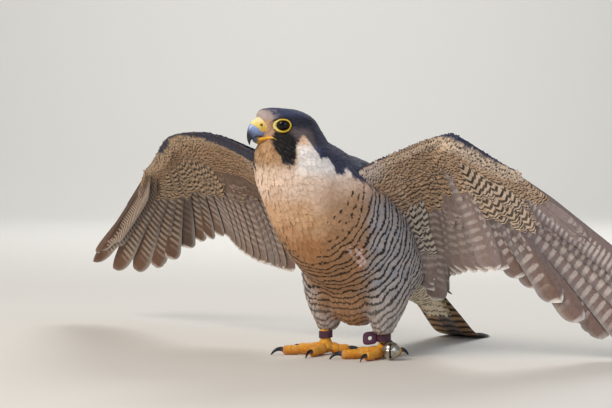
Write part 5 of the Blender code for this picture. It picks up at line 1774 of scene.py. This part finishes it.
def floorPiece():
    # a pale floor that sweeps up into a backdrop behind the bird
    bend = np.linspace(0, np.pi / 2, 14)
    y = np.concatenate([np.linspace(-6, stage["start"], 10),
                        stage["start"] + np.sin(bend[1:]) * stage["radius"],
                        [stage["start"] + stage["radius"]]])
    z = np.concatenate([np.zeros(10), (1 - np.cos(bend[1:])) * stage["radius"], [stage["top"]]])
    x = np.linspace(-stage["reach"], stage["reach"], 12)
    turn = np.radians(36)
    forth = np.array([-np.sin(turn), np.cos(turn)])
    right = np.array([np.cos(turn), np.sin(turn)])
    grid = np.empty((len(y), len(x), 3))
    grid[..., 0] = x[None, :] * right[0] + y[:, None] * forth[0]
    grid[..., 1] = x[None, :] * right[1] + y[:, None] * forth[1]
    grid[..., 2] = z[:, None]
    points = grid.reshape(-1, 3) / bird["metres"] - bird["origin"]
    obj = solid("floor", points, [gridFaces(len(y), len(x), around=False)])
    if obj.data.polygons[0].normal.z < 0:
        obj.data.flip_normals()
    material, tree, shader = newMaterial("floorPaint", Roughness=0.9)
    shader.inputs["Base Color"].default_value = hexColour(stage["floor"])
    obj.data.materials.append(material)


def softLight(name, place, target, size, power, colour):
    data = bpy.data.lights.new(name, "AREA")
    data.shape = "DISK"
    data.size = size
    data.energy = power
    data.color = tuple(linear(colour))
    lamp = bpy.data.objects.new(name, data)
    bpy.context.scene.collection.objects.link(lamp)
    lamp.location = place
    lamp.rotation_euler = (Vector(target) - Vector(place)).to_track_quat("-Z", "Y").to_euler()
    return lamp


floorPiece()
middle = (0.0, -0.05, 0.15)
softLight("key", (-0.5, -2.2, 2.0), middle, 1.4, 58, "#fff1e0")
softLight("fill", (2.4, -1.0, 1.0), middle, 1.8, 13, "#dfe8ff")
softLight("rim", (-0.6, 2.0, 2.0), middle, 1.2, 30, "#ffffff")
wash = softLight("backdropWash", (-1.4, 1.9, 2.6), (-3.0, 4.2, 0.9), 2.0, 55, "#ffffff")
wash.visible_camera = False
world = bpy.data.worlds.new("studio")
world.use_nodes = True
world.node_tree.nodes["Background"].inputs["Color"].default_value = hexColour("#e8edf2")
world.node_tree.nodes["Background"].inputs["Strength"].default_value = 0.42
bpy.context.scene.world = world
bpy.context.scene.view_settings.view_transform = "Standard"

view = {"place": (1.0435, -1.4518, 0.2053), "azimuth": np.radians(36), "down": np.radians(1.8),
        "lens": 100, "sensor": 36}
lens = bpy.data.cameras.new("camera")
lens.lens = view["lens"]
lens.sensor_width = view["sensor"]
lens.clip_start = 0.05
camera = bpy.data.objects.new("camera", lens)
camera.location = view["place"]
camera.rotation_euler = (np.pi / 2 - view["down"], 0, view["azimuth"])
bpy.context.scene.collection.objects.link(camera)
bpy.context.scene.camera = camera
